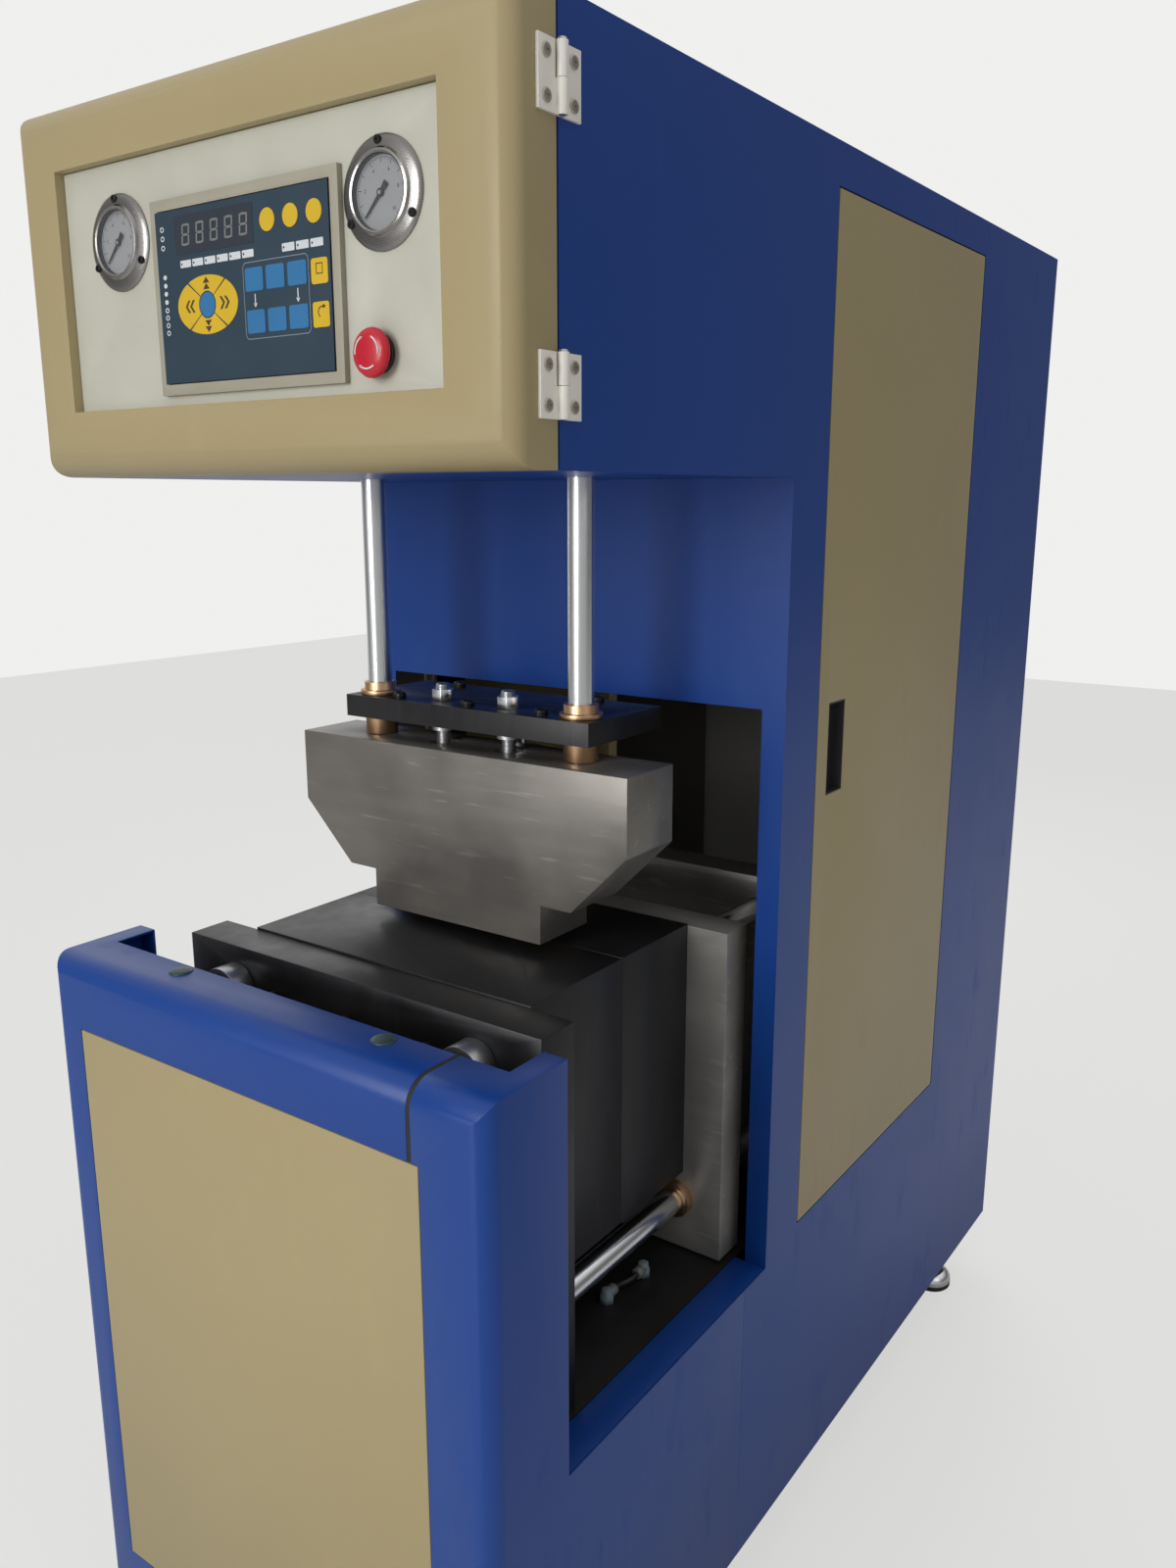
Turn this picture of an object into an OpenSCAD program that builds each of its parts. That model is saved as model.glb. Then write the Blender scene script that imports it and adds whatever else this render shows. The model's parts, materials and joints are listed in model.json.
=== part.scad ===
// Semi-automatic two-cavity bottle blow moulding machine.
// Millimetres. +X is the machine's right, +Y its back, +Z up.
// The origin lies on the floor, under the middle of the cabinet.

/* [Cabinet] */
// Width over the side sheets
machine_w = 650; // [600:5:760]
// Depth from the front of the base box to the rear panel
machine_d = 1500; // [1460:5:1700]
// Height of the top cover above the floor
machine_h = 1841; // [1800:1:1950]
// Height of the lower edge of the sheets above the floor
ground_gap = 90; // [70:1:110]
// Thickness of the cabinet sheets
sheet = 3; // [2:0.5:4]
// Gap round flush panels and doors
seam = 2; // [1:0.5:3]
// Radial gap of pieces that sit still in a hole
seat_gap = 0.3; // [0.2:0.05:0.4]
// Radial gap of pieces that slide or turn
run_gap = 0.05; // [0.02:0.01:0.09]

/* [Head] */
// Height of the overhanging head
head_h = 363; // [340:1:380]
// How far the head's door stands behind the base box
head_setback = 51; // [20:1:80]
// Depth of the head's door
door_depth = 62; // [50:1:80]
// Radius of the door's upper and lower front edges
door_edge_r = 35; // [20:1:40]
// Radius of the door's upright front edges
door_corner_r = 22; // [10:1:30]
// Width of the flange round the back of the door
door_flange = 16; // [10:1:20]
// Middle of the instrument panel, to the left of the centre plane
panel_shift = 1; // [-10:1:10]
// Width of the instrument panel's recess
panel_w = 512; // [500:1:530]
// Height of the instrument panel's recess
panel_h = 231; // [225:1:245]
// Lower edge of the recess above the head's lower edge
panel_rise = 65; // [55:1:75]
// Depth of the recess in front of the panel
panel_recess = 10; // [6:1:14]
// Width of the lip that carries the panel
panel_lip = 12; // [8:1:16]

/* [Column] */
// Distance of the column's front behind the base's front
column_front = 552; // [540:1:570]
// Wall left beside the opening in the column's front
column_jamb = 30; // [20:1:35]
// Height of the opening's upper edge
opening_top = 1214; // [1190:1:1300]
// Depth of the side door's opening
side_door_w = 502; // [450:1:520]
// Side door's opening behind the column's front
side_door_setback = 89; // [80:1:110]
// Height of the side door's lower edge
side_door_low = 506; // [500:1:540]
// Sheet left above the side door
side_door_drop = 46; // [40:1:60]
// Depth of the door's folded pan
door_pan = 20; // [16:1:24]
// Radius of the door's pivot pins
pivot_r = 2.5; // [2:0.1:2.8]
// Pivot's distance from the door's outer face and rear edge
pivot_inset = 5; // [4.5:0.1:5.5]
// Height of the recessed pull
pull_h = 117; // [100:1:130]
// Width of the recessed pull
pull_w = 47; // [40:1:55]
// Depth of the recessed pull
pull_d = 16; // [12:1:18]
// Height of the pull's lower edge
pull_z = 1091; // [1050:1:1150]
// Pull's distance from the door's front edge
pull_y = 30; // [25:1:40]

/* [Base] */
// Height of the base box
base_h = 945; // [943:1:948]
// Depth of the base box at its corner posts
post_d = 123; // [100:1:128]
// Depth of the top rail
rail_d = 71; // [60:1:90]
// Width of the corner posts
post_w = 28; // [24:1:40]
// Radius of the base box's upright corners
base_corner_r = 22; // [15:1:26]
// Radius of the base box's upper front edge
base_edge_r = 28; // [20:1:32]
// Length of the front shell's lower side
shell_back = 495; // [470:1:520]
// Height of the sill under the side openings
sill_h = 487; // [480:1:500]
// Width of the sill
sill_w = 45; // [40:1:50]
// Depth of the folds on the shells' free edges
fold = 25; // [20:1:30]
// Left edge of the front panel from the shell's left side
stile_left = 52; // [45:1:80]
// Right edge of the front panel from the shell's right side
stile_right = 78; // [45:1:90]
// Height of the front panel's lower edge
front_panel_low = 155; // [140:1:180]
// Rail left above the front panel
front_panel_drop = 79; // [60:1:90]
// Distance of the rail's joint from the centre plane
joint_x = 233; // [210:1:245]
// Width of the rail's joint
joint_w = 5; // [2:0.5:6]
// Thickness of the base plate
plate_t = 16; // [12:1:20]

/* [Feet] */
// Radius of the feet
foot_r = 35; // [30:1:40]
// Thickness of the rubber pads
pad_t = 10; // [8:1:14]
// Height of the cups
cup_h = 32; // [26:1:36]
// Radius of the studs
stud_r = 8; // [6:0.5:10]
// Distance of the feet from the side sheets
foot_inset = 45; // [42:1:60]
// Distance of the front feet from the base's front
foot_front = 70; // [60:5:150]
// Distance of the rear feet from the rear panel
foot_rear = 150; // [100:5:200]

/* [Clamp unit] */
// Distance of the mould's parting face behind the base's front
part_d = 381; // [375:1:388]
// Radius of the tie bars
tie_r = 16; // [14:0.5:17]
// Distance of the lower tie bars from the platens' sides
tie_low_inset = 66; // [60:1:70]
// Distance of the upper tie bars from the platens' sides
tie_high_inset = 85; // [82:1:88]
// Height of the lower tie bars
tie_low = 560; // [550:1:570]
// Height of the upper tie bars
tie_high = 890; // [885:1:900]
// Gap between the platens and the side sheets
platen_gap = 52; // [48:1:60]
// Height of the platens' upper edge
platen_top = 938; // [930:1:942]
// Thickness of the fixed platens
platen_t = 55; // [45:1:58]
// Thickness of the moving platen
moving_t = 50; // [40:1:60]
// Gap between the parting faces of the closed mould
part_gap = 0.3; // [0.2:0.05:0.5]
// Thickness of the front mould half
mould_front_t = 171; // [165:1:175]
// Thickness of the rear mould half
mould_rear_t = 146; // [140:1:150]
// Distance of the mould halves' sides from the platens' sides
mould_inset = 56; // [50:1:60]
// Height of the mould's lower face
mould_low = 600; // [590:1:610]
// Height of the mould's upper face
mould_top = 940; // [930:1:942]
// Distance of the two cavities from the centre plane
cavity_x = 51; // [49:1:60]
// Radius of the bottle cavities
bottle_r = 42; // [35:1:44]
// Length of the straight bottle wall
bottle_wall = 170; // [140:1:180]
// Radius of the bottle necks
neck_r = 13; // [11:0.5:14]
// Thickness of mould under the bottles
bottle_floor = 45; // [35:1:60]
// Radius of the mould's leader pins
leader_r = 8; // [6:0.5:10]
// Distance of the leader pins from the mould's upper and lower faces
leader_inset = 26; // [20:1:30]
// Distance of the leader pins from the mould's sides
leader_side = 74; // [72:1:76]
// Stroke of the moving platen
clamp_stroke = 160; // [120:5:165]
// Radius of the clamp cylinder
cylinder_r = 82; // [75:1:90]
// Length of the clamp cylinder
cylinder_length = 270; // [260:5:300]
// Wall of the clamp cylinder
cylinder_wall = 12; // [10:1:14]
// Radius of the clamp piston rod
clamp_rod_r = 25; // [20:1:28]
// Thickness of the bed plates
bed_t = 16; // [12:1:20]
// Distance of the bed plates from the platens' sides
bed_inset = 54; // [50:1:60]

/* [Blow head] */
// Radius of the guide rods
rod_r = 15; // [12:0.5:16]
// Distance of the guide rods from the centre plane
rod_x = 156; // [150:1:160]
// Height of the grey block's upper face
block_top = 1165; // [1150:1:1175]
// Width of the grey block
block_w = 500; // [480:2:520]
// Thickness of the grey block
block_t = 94; // [86:1:98]
// Front of the grey block ahead of the rods' plane
block_front = 47; // [42:1:50]
// Height of the block's upright sides
block_side_h = 90; // [80:1:100]
// Width of the block's 45 degree cut corners
block_cut = 76; // [70:1:80]
// Width of the block's lower foot
block_foot_w = 262; // [250:1:280]
// Height of the block's lower foot
block_foot = 47; // [42:1:48]
// Depth of the guide rods in the block
rod_seat = 75; // [60:1:80]
// Gap between the block and the seal plate's bushes at rest
block_gap = 23; // [20:1:30]
// Thickness of the seal plate
seal_t = 27; // [24:1:32]
// Width of the seal plate
seal_w = 374; // [370:1:400]
// Depth of the seal plate
seal_d = 149; // [146:1:155]
// Front of the seal plate ahead of the rods' plane
seal_front = 30; // [28:1:40]
// Outer radius of the bronze bushes
bush_r = 20; // [19:0.5:22]
// Height of the bushes above the seal plate
bush_top = 16; // [12:1:20]
// Radius of the nozzle stems
stem_r = 8; // [7:0.5:9]
// Radius of the nozzle's sealing head
nozzle_r = 14; // [12:0.5:15]
// Radius of the nozzle passages in the block
passage_r = 17; // [16:0.5:18]
// Width of the nozzle nuts across their flats
nut_flat = 24; // [22:1:27]
// Radius of the lift cylinder
lift_r = 31; // [28:1:34]
// Radius of the lift piston rod
lift_rod_r = 10; // [8:0.5:12]
// Stroke of the seal plate
lift_stroke = 110; // [80:5:115]
// Thickness of the head beam that holds the rods
beam_t = 20; // [16:1:26]
// Height of the head beam above the head's floor
beam_rise = 22; // [18:1:40]
// Head beam's front ahead of the rods' plane
beam_front = 60; // [50:1:70]
// Height of the nozzles' tips above the block's lower face at rest
nozzle_rise = 40; // [30:1:60]

/* [Controls] */
// Left gauge's distance from the centre plane
gauge_left_x = 170; // [160:1:175]
// Right gauge's distance from the centre plane
gauge_right_x = 186; // [185:1:200]
// Height of the gauges above the head's lower edge
gauge_rise = 222; // [215:1:230]
// Radius of the gauges' flanges
gauge_flange_r = 45; // [42:0.5:45.5]
// Radius of the gauges' bezels
gauge_r = 34; // [32:0.5:36]
// Depth of the gauges in front of the panel
gauge_proud = 8; // [7.5:0.5:11]
// Depth of the gauges' cases behind the panel
gauge_case_d = 28; // [20:1:32]
// Emergency stop's distance from the centre plane
estop_x = 177; // [168:1:190]
// Height of the emergency stop above the head's lower edge
estop_rise = 97; // [92:1:100]
// Radius of the emergency stop's button
estop_r = 20.5; // [18:0.5:22]
// Travel of the emergency stop's button
estop_travel = 4; // [3:0.5:5]
// Left edge of the controller from the centre plane
controller_left = 114; // [112:1:116]
// Width of the controller's bezel
controller_w = 253; // [250:1:254]
// Height of the controller's bezel
controller_h = 176; // [172:1:180]
// Lower edge of the controller above the head's lower edge
controller_rise = 75; // [73:1:80]
// Width of the keypad
keypad_w = 234; // [228:1:238]
// Height of the keypad
keypad_h = 154; // [148:1:160]
// Bezel left of the keypad
keypad_margin = 7; // [5:1:9]
// Depth of the controller behind the panel
controller_d = 44; // [36:1:46]

/* [Hinges] */
// Height of a door hinge
hinge_h = 53; // [48:1:60]
// Width of one hinge leaf from the pin's axis
leaf_w = 28; // [24:1:32]
// Thickness of a hinge leaf
leaf_t = 3; // [2.5:0.5:4]
// Radius of the hinge knuckles
knuckle_r = 5; // [4.5:0.5:6]
// Radius of the hinge pins
hinge_pin_r = 3; // [2.5:0.1:3.5]
// Middle of the upper hinge under the top cover
hinge_top = 67; // [60:1:80]
// Middle of the lower hinge above the head's lower edge
hinge_low = 67; // [60:1:80]

/* [Hidden] */
$fn = 64;

blue = [0.17, 0.31, 0.64];
beige = [0.68, 0.62, 0.45];
black = [0.10, 0.10, 0.11];
grey = [0.36, 0.37, 0.38];
chrome = [0.78, 0.79, 0.80];
steel = [0.58, 0.59, 0.60];
bronze = [0.66, 0.47, 0.24];
silver = [0.83, 0.83, 0.80];

half_w = machine_w / 2;
inner_w = half_w - sheet;
platen_w = 2 * (inner_w - platen_gap);
mould_w = platen_w - 2 * mould_inset;
tie_low_x = platen_w / 2 - tie_low_inset;
tie_high_x = platen_w / 2 - tie_high_inset;
y_front = -machine_d / 2;
y_rear = machine_d / 2;
y_column = y_front + column_front;
y_door = y_front + head_setback;
y_head = y_door + door_depth + seam;
opening_half = half_w - column_jamb;
z_head = machine_h - head_h;
z_cover = machine_h - sheet;
plate_low = ground_gap + seam;
plate_top = plate_low + plate_t;
y_post = y_front + post_d;
y_shell = y_front + shell_back;
y_part = y_front + part_d;

door_y0 = y_column + side_door_setback;
door_y1 = door_y0 + side_door_w;
door_z1 = machine_h - side_door_drop;
pivot_x = half_w - pivot_inset;
pivot_gap = seam + 1;
pivot_y = door_y1 - pivot_gap - pivot_inset;
pivot_block = 22;

bed_top = sill_h;
front_platen_y1 = y_part - part_gap / 2 - mould_front_t;
front_platen_y0 = front_platen_y1 - platen_t;
moving_y0 = y_part + part_gap / 2 + mould_rear_t;
moving_y1 = moving_y0 + moving_t;
rod_flange_t = 12;
rear_platen_y0 = moving_y1 + clamp_stroke + rod_flange_t + 11;
rear_platen_y1 = rear_platen_y0 + platen_t;
tie_nut_t = 28;
tie_nut_r = 28;
tie_end = 4;
clamp_z = (tie_low + tie_high) / 2;
sides = [-1, 1];
tie_spots = [for (s = sides) each [[s * tie_low_x, tie_low], [s * tie_high_x, tie_high]]];

block_y0 = y_part - block_front;
block_y1 = block_y0 + block_t;
block_low = block_top - block_side_h - block_cut - block_foot;
seal_z0 = block_top + block_gap;
seal_z1 = seal_z0 + seal_t;
seal_y0 = y_part - seal_front;
lift_y = block_y1 + lift_r + 6;
lift_low = block_low + 8;
lift_high = block_top - 15;
beam_z0 = z_head + beam_rise;
beam_z1 = beam_z0 + beam_t;
rod_nut_t = 20;

panel_x0 = -panel_w / 2 - panel_shift;
panel_x1 = panel_w / 2 - panel_shift;
panel_z0 = z_head + panel_rise;
panel_z1 = panel_z0 + panel_h;
panel_y = y_door + panel_recess;
controller_x0 = -controller_left;
controller_z0 = z_head + controller_rise;
keypad_x0 = controller_x0 + keypad_margin;
keypad_z0 = controller_z0 + (controller_h - keypad_h) / 2;
bezel_t = 6;
gauge_z = z_head + gauge_rise;
gauge_face = panel_y - gauge_proud;
gauge_floor = gauge_proud - 0.5;
gauge_x = [-gauge_left_x, gauge_right_x];
estop_z = z_head + estop_rise;
collar_t = 4;
estop_neck_r = 11;
hinge_x = half_w + knuckle_r;
hinge_y = y_head - seam / 2;
hinge_z = [z_head + hinge_low, machine_h - hinge_top];

// Basic forms

module block(low, high) {
    translate(low) cube(high - low);
}

module rod_z(r, x, y, z0, z1) {
    translate([x, y, z0]) cylinder(r = r, h = z1 - z0);
}

module rod_y(r, x, z, y0, y1) {
    translate([x, y0, z]) rotate([-90, 0, 0]) cylinder(r = r, h = y1 - y0);
}

// Turned piece about Y: each point is [radius, distance behind y0]
module turned_y(x, y0, z, points) {
    translate([x, y0, z]) rotate([-90, 0, 0]) rotate_extrude() polygon(points);
}

// Side outline in Y and Z, drawn out along X
module along_x(x0, x1) {
    translate([x0, 0, 0]) rotate([90, 0, 90]) linear_extrude(x1 - x0) children();
}

// Front outline in X and Z, drawn out along Y
module along_y(y0, y1) {
    translate([0, y1, 0]) rotate([90, 0, 0]) linear_extrude(y1 - y0) children();
}

// Plan with its two front corners rounded
module plan(half, y0, y1, r) {
    translate([-half, y0 + r]) square([2 * half, y1 - y0 - r]);
    translate([-half + r, y0]) square([2 * (half - r), r + 1]);
    for (s = sides) translate([s * (half - r), y0 + r]) circle(r);
}

// Side view with its front edges rounded, by r_low below and r_top above
module profile(y0, y1, z0, z1, r_low, r_top) {
    r = max(r_low, r_top);
    translate([y0 + r, z0]) square([y1 - y0 - r, z1 - z0]);
    translate([y0, z0 + r_low]) square([r + 1, z1 - z0 - r_low - r_top]);
    if (r_low > 0) translate([y0 + r_low, z0 + r_low]) circle(r_low);
    if (r_top > 0) translate([y0 + r_top, z1 - r_top]) circle(r_top);
}

module rounded_front(half, y0, y1, z0, z1, r_corner, r_low, r_top) {
    intersection() {
        translate([0, 0, z0]) linear_extrude(z1 - z0) plan(half, y0, y1, r_corner);
        along_x(-half, half) profile(y0, y1, z0, z1, r_low, r_top);
    }
}

// Base

module base_plate() {
    color(black) difference() {
        translate([0, 0, plate_low]) linear_extrude(plate_t)
            plan(inner_w, y_front + 2 * sheet, y_rear - sheet, base_corner_r);
        at_feet() translate([0, 0, plate_low - 1]) cylinder(r = stud_r + seat_gap, h = plate_t + 2);
    }
}

module at_feet() {
    for (s = sides, y = [y_front + foot_front, y_rear - foot_rear])
        translate([s * (half_w - foot_inset), y, 0]) children();
}

module foot_pads() {
    color(black) at_feet() rotate_extrude()
        polygon([[0, 0], [foot_r - 2, 0], [foot_r, 2], [foot_r, pad_t], [0, pad_t]]);
}

// Pressed cups: a low dome with a collar for the stud
module foot_cups() {
    collar = stud_r + 6;
    color(chrome) at_feet() translate([0, 0, pad_t]) rotate_extrude()
        polygon([[0, 0], [foot_r, 0], [foot_r, 4],
                 for (a = [10:10:90])
                     [collar + (foot_r - collar) * cos(a), 4 + (cup_h - 14) * sin(a)],
                 [collar, cup_h], [stud_r + seat_gap, cup_h],
                 [stud_r + seat_gap, cup_h - 12], [0, cup_h - 12]]);
}

module foot_studs() {
    nut_h = 12;
    color(steel) at_feet() {
        translate([0, 0, pad_t + cup_h - 12]) cylinder(r = stud_r, h = plate_top + 8 - pad_t - cup_h + 12);
        difference() {
            translate([0, 0, plate_low - nut_h]) cylinder(r = stud_r * 1.75, h = nut_h, $fn = 6);
            translate([0, 0, plate_low - nut_h - 1]) cylinder(r = stud_r + seat_gap, h = nut_h + 2);
        }
    }
}

module base_shell_form(inset) {
    half = half_w - inset;
    y0 = y_front + inset;
    corner = base_corner_r - inset;
    edge = base_edge_r - inset;
    rounded_front(half, y0, y_post - inset, ground_gap - inset, base_h - inset, corner, 0, edge);
    translate([0, 0, ground_gap - inset]) linear_extrude(sill_h - ground_gap + inset)
        plan(half, y0, y_shell + inset, corner);
}

module base_shell() {
    panel_x0 = -half_w + stile_left;
    panel_x1 = half_w - stile_right;
    color(blue) difference() {
        base_shell_form(0);
        base_shell_form(sheet);
        block([-inner_w, y_post - sheet - 1, ground_gap - 1], [inner_w, y_shell + 1, sill_h + 1]);
        block([-half_w + post_w, y_post - sheet - 1, ground_gap - 1],
              [half_w - post_w, y_post + 1, base_h - sheet]);
        block([-half_w + post_w, y_front + rail_d, base_h - sheet - 1],
              [half_w - post_w, y_post + 1, base_h + 1]);
        block([panel_x0, y_front - 1, front_panel_low], [panel_x1, y_front + sheet + 1,
              base_h - front_panel_drop]);
        difference() {
            block([joint_x, y_front - 1, base_h - front_panel_drop - 1],
                  [joint_x + joint_w, y_front + rail_d + 1, base_h + 1]);
            base_shell_form(sheet / 2);
        }
    }
    color(blue) block([-half_w + post_w, y_front + rail_d - sheet, base_h - fold],
                      [half_w - post_w, y_front + rail_d, base_h - sheet]);
}

module base_panel() {
    x0 = -half_w + stile_left;
    x1 = half_w - stile_right;
    z1 = base_h - front_panel_drop;
    lap = 12;
    color(beige) {
        block([x0 + seam / 2, y_front, front_panel_low + seam / 2],
              [x1 - seam / 2, y_front + sheet, z1 - seam / 2]);
        block([x0 - lap, y_front + sheet, front_panel_low - lap],
              [x1 + lap, y_front + 2 * sheet, z1 + lap]);
    }
}

// Folded angle along the lower edge of the side opening
module sill(s) {
    x0 = half_w - sill_w;
    color(blue) mirror([s < 0 ? 1 : 0, 0, 0]) {
        block([x0, y_post, sill_h - sheet], [inner_w, y_column, sill_h]);
        block([x0, y_post, sill_h - 2 * fold], [x0 + sheet, y_column, sill_h - sheet]);
    }
}

module bed_plate(s) {
    x = platen_w / 2 - bed_inset;
    color(black) mirror([s < 0 ? 1 : 0, 0, 0])
        block([x - bed_t, front_platen_y0 - 10, plate_top], [x, rear_platen_y1 + 10, bed_top - sheet]);
}

module bed_cover() {
    x = half_w - sill_w - seat_gap;
    color(black) block([-x, front_platen_y0 - 20, bed_top - sheet], [x, rear_platen_y1 + 15, bed_top]);
}

// Column and head

module side_shell(s) {
    color(blue) mirror([s < 0 ? 1 : 0, 0, 0]) along_x(inner_w, half_w) difference() {
        polygon([[y_shell, ground_gap], [y_rear, ground_gap], [y_rear, machine_h],
                 [y_head, machine_h], [y_head, z_head], [y_column, z_head],
                 [y_column, sill_h], [y_shell, sill_h]]);
        translate([door_y0, side_door_low]) square([side_door_w, door_z1 - side_door_low]);
    }
}

module column_front_wall() {
    color(blue) along_y(y_column, y_column + sheet) difference() {
        translate([-inner_w, plate_top]) square([2 * inner_w, z_cover - plate_top]);
        translate([-opening_half, plate_top - 1])
            square([2 * opening_half, opening_top - plate_top + 1]);
    }
}

module rear_panel() {
    color(blue) difference() {
        block([-inner_w, y_rear - sheet, ground_gap], [inner_w, y_rear, z_cover]);
        for (f = fittings) rod_y(f[1] + seat_gap, f[0], fitting_z, y_rear - sheet - 1, y_rear + 1);
    }
}

module top_cover() {
    color(blue) block([-inner_w, y_head, z_cover], [inner_w, y_rear, machine_h]);
}

module head_floor() {
    color(blue) difference() {
        block([-inner_w, y_head, z_head], [inner_w, y_column, z_head + sheet]);
        for (s = sides) rod_z(rod_r + seat_gap, s * rod_x, y_part, z_head - 1, z_head + sheet + 1);
    }
}

module head_beam() {
    color(grey) difference() {
        block([-inner_w, y_part - beam_front, beam_z0], [inner_w, y_column, beam_z1]);
        for (s = sides) rod_z(rod_r + seat_gap, s * rod_x, y_part, beam_z0 - 1, beam_z1 + 1);
    }
}

// Blow head

module guide_rod(s) {
    color(chrome) rod_z(rod_r, s * rod_x, y_part, block_top - rod_seat, beam_z1 + rod_nut_t + 4);
}

module guide_rod_nuts() {
    color(steel) for (s = sides) difference() {
        translate([s * rod_x, y_part, beam_z1]) cylinder(r = rod_r * 1.7, h = rod_nut_t, $fn = 6);
        rod_z(rod_r + seat_gap, s * rod_x, y_part, beam_z1 - 1, beam_z1 + rod_nut_t + 1);
    }
}

// Fixed grey block with cut corners, the rods' lower seat
module crosshead() {
    half = block_w / 2;
    foot = block_foot_w / 2;
    z1 = block_top - block_side_h;
    z2 = z1 - block_cut;
    color(grey) difference() {
        along_y(block_y0, block_y1)
            polygon([[-half, block_top], [-half, z1], [-half + block_cut, z2], [-foot, z2],
                     [-foot, block_low], [foot, block_low], [foot, z2], [half - block_cut, z2],
                     [half, z1], [half, block_top]]);
        for (s = sides) {
            rod_z(rod_r + seat_gap, s * rod_x, y_part, block_top - rod_seat, block_top + 1);
            rod_z(passage_r, s * cavity_x, y_part, block_low - 1, block_top + 1);
        }
    }
}

module seal_plate() {
    color(black) difference() {
        block([-seal_w / 2, seal_y0, seal_z0], [seal_w / 2, seal_y0 + seal_d, seal_z1]);
        for (s = sides) {
            rod_z(bush_r + seat_gap, s * rod_x, y_part, seal_z0 - 1, seal_z1 + 1);
            rod_z(stem_r + seat_gap, s * cavity_x, y_part, seal_z0 - 1, seal_z1 + 1);
        }
    }
}

module seal_bushes() {
    flange_r = bush_r + 5;
    flange_t = 6;
    low = block_top + 0.5;
    color(bronze) for (s = sides) difference() {
        union() {
            rod_z(bush_r, s * rod_x, y_part, low, seal_z1 + bush_top);
            rod_z(flange_r, s * rod_x, y_part, seal_z1, seal_z1 + flange_t);
        }
        rod_z(rod_r + run_gap, s * rod_x, y_part, low - 1, seal_z1 + bush_top + 1);
    }
}

// Threaded stems with a collar under the plate and a tapered sealing head
module blow_nozzles() {
    tip = block_low + nozzle_rise;
    collar_t = 8;
    cone_h = 6;
    plug_h = 24;
    top = seal_z1 + 22;
    color(steel) for (s = sides) translate([s * cavity_x, y_part, 0]) rotate_extrude()
        polygon([[0, tip], [nozzle_r - 5, tip], [nozzle_r, tip + collar_t], [nozzle_r, tip + plug_h],
                 [stem_r, tip + plug_h + cone_h], [stem_r, seal_z0 - collar_t],
                 [stem_r + 6, seal_z0 - collar_t], [stem_r + 6, seal_z0], [stem_r, seal_z0],
                 [stem_r, top - 1.5], [stem_r - 1.5, top], [0, top]]);
}

module nozzle_nuts() {
    nut_t = 15;
    color(chrome) for (s = sides) difference() {
        translate([s * cavity_x, y_part, seal_z1])
            cylinder(d = nut_flat / cos(30), h = nut_t, $fn = 6);
        rod_z(stem_r + seat_gap, s * cavity_x, y_part, seal_z1 - 1, seal_z1 + nut_t + 1);
    }
}

// Lift cylinder on the back of the block, with its clamp bracket
module lift_cylinder() {
    wall = 6;
    cap = 12;
    bracket = 45;
    bracket_h = 24;
    color(silver) difference() {
        union() {
            rod_z(lift_r, 0, lift_y, lift_low, lift_high);
            block([-bracket, block_y1, lift_high - bracket_h], [bracket, lift_y, lift_high]);
        }
        rod_z(lift_r - wall, 0, lift_y, lift_low + cap, lift_high - cap);
        rod_z(lift_rod_r + run_gap, 0, lift_y, lift_high - cap - 1, lift_high + 1);
    }
}

module lift_rod() {
    piston_low = lift_low + 14;
    piston_t = 14;
    color(chrome) {
        rod_z(lift_r - 6 - run_gap, 0, lift_y, piston_low, piston_low + piston_t);
        rod_z(lift_rod_r, 0, lift_y, piston_low + piston_t, seal_z0);
    }
}

// Clamp unit

module platen(y0, y1, low, bore_r, middle_r) {
    difference() {
        block([-platen_w / 2, y0, low], [platen_w / 2, y1, platen_top]);
        for (t = tie_spots) rod_y(bore_r, t[0], t[1], y0 - 1, y1 + 1);
        if (middle_r > 0) rod_y(middle_r, 0, clamp_z, y0 - 1, y1 + 1);
    }
}

module front_platen() {
    color(black) platen(front_platen_y0, front_platen_y1, bed_top, tie_r + seat_gap, 0);
}

module moving_platen() {
    color(grey) platen(moving_y0, moving_y1, bed_top + 3, tie_r + 8 + seat_gap, 0);
}

module rear_platen() {
    color(grey) platen(rear_platen_y0, rear_platen_y1, bed_top, tie_r + seat_gap, clamp_rod_r + 5);
}

module tie_bars() {
    color(chrome) for (t = tie_spots)
        rod_y(tie_r, t[0], t[1], front_platen_y0 - tie_nut_t - tie_end,
              rear_platen_y1 + tie_nut_t + tie_end);
}

module tie_bar_nuts() {
    color(steel) for (t = tie_spots, y = [front_platen_y0 - tie_nut_t, rear_platen_y1])
        difference() {
            rod_y(tie_nut_r, t[0], t[1], y, y + tie_nut_t);
            rod_y(tie_r + seat_gap, t[0], t[1], y - 1, y + tie_nut_t + 1);
        }
}

// The upper bushes end flush behind the mould, and the lower ones stand proud of the platen
module platen_bushes() {
    proud = 10;
    color(bronze) for (t = tie_spots) difference() {
        rod_y(tie_r + 8, t[0], t[1], moving_y0 - (t[1] == tie_low ? proud : 0), moving_y1 + proud);
        rod_y(tie_r + run_gap, t[0], t[1], moving_y0 - proud - 1, moving_y1 + proud + 1);
    }
}

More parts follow.
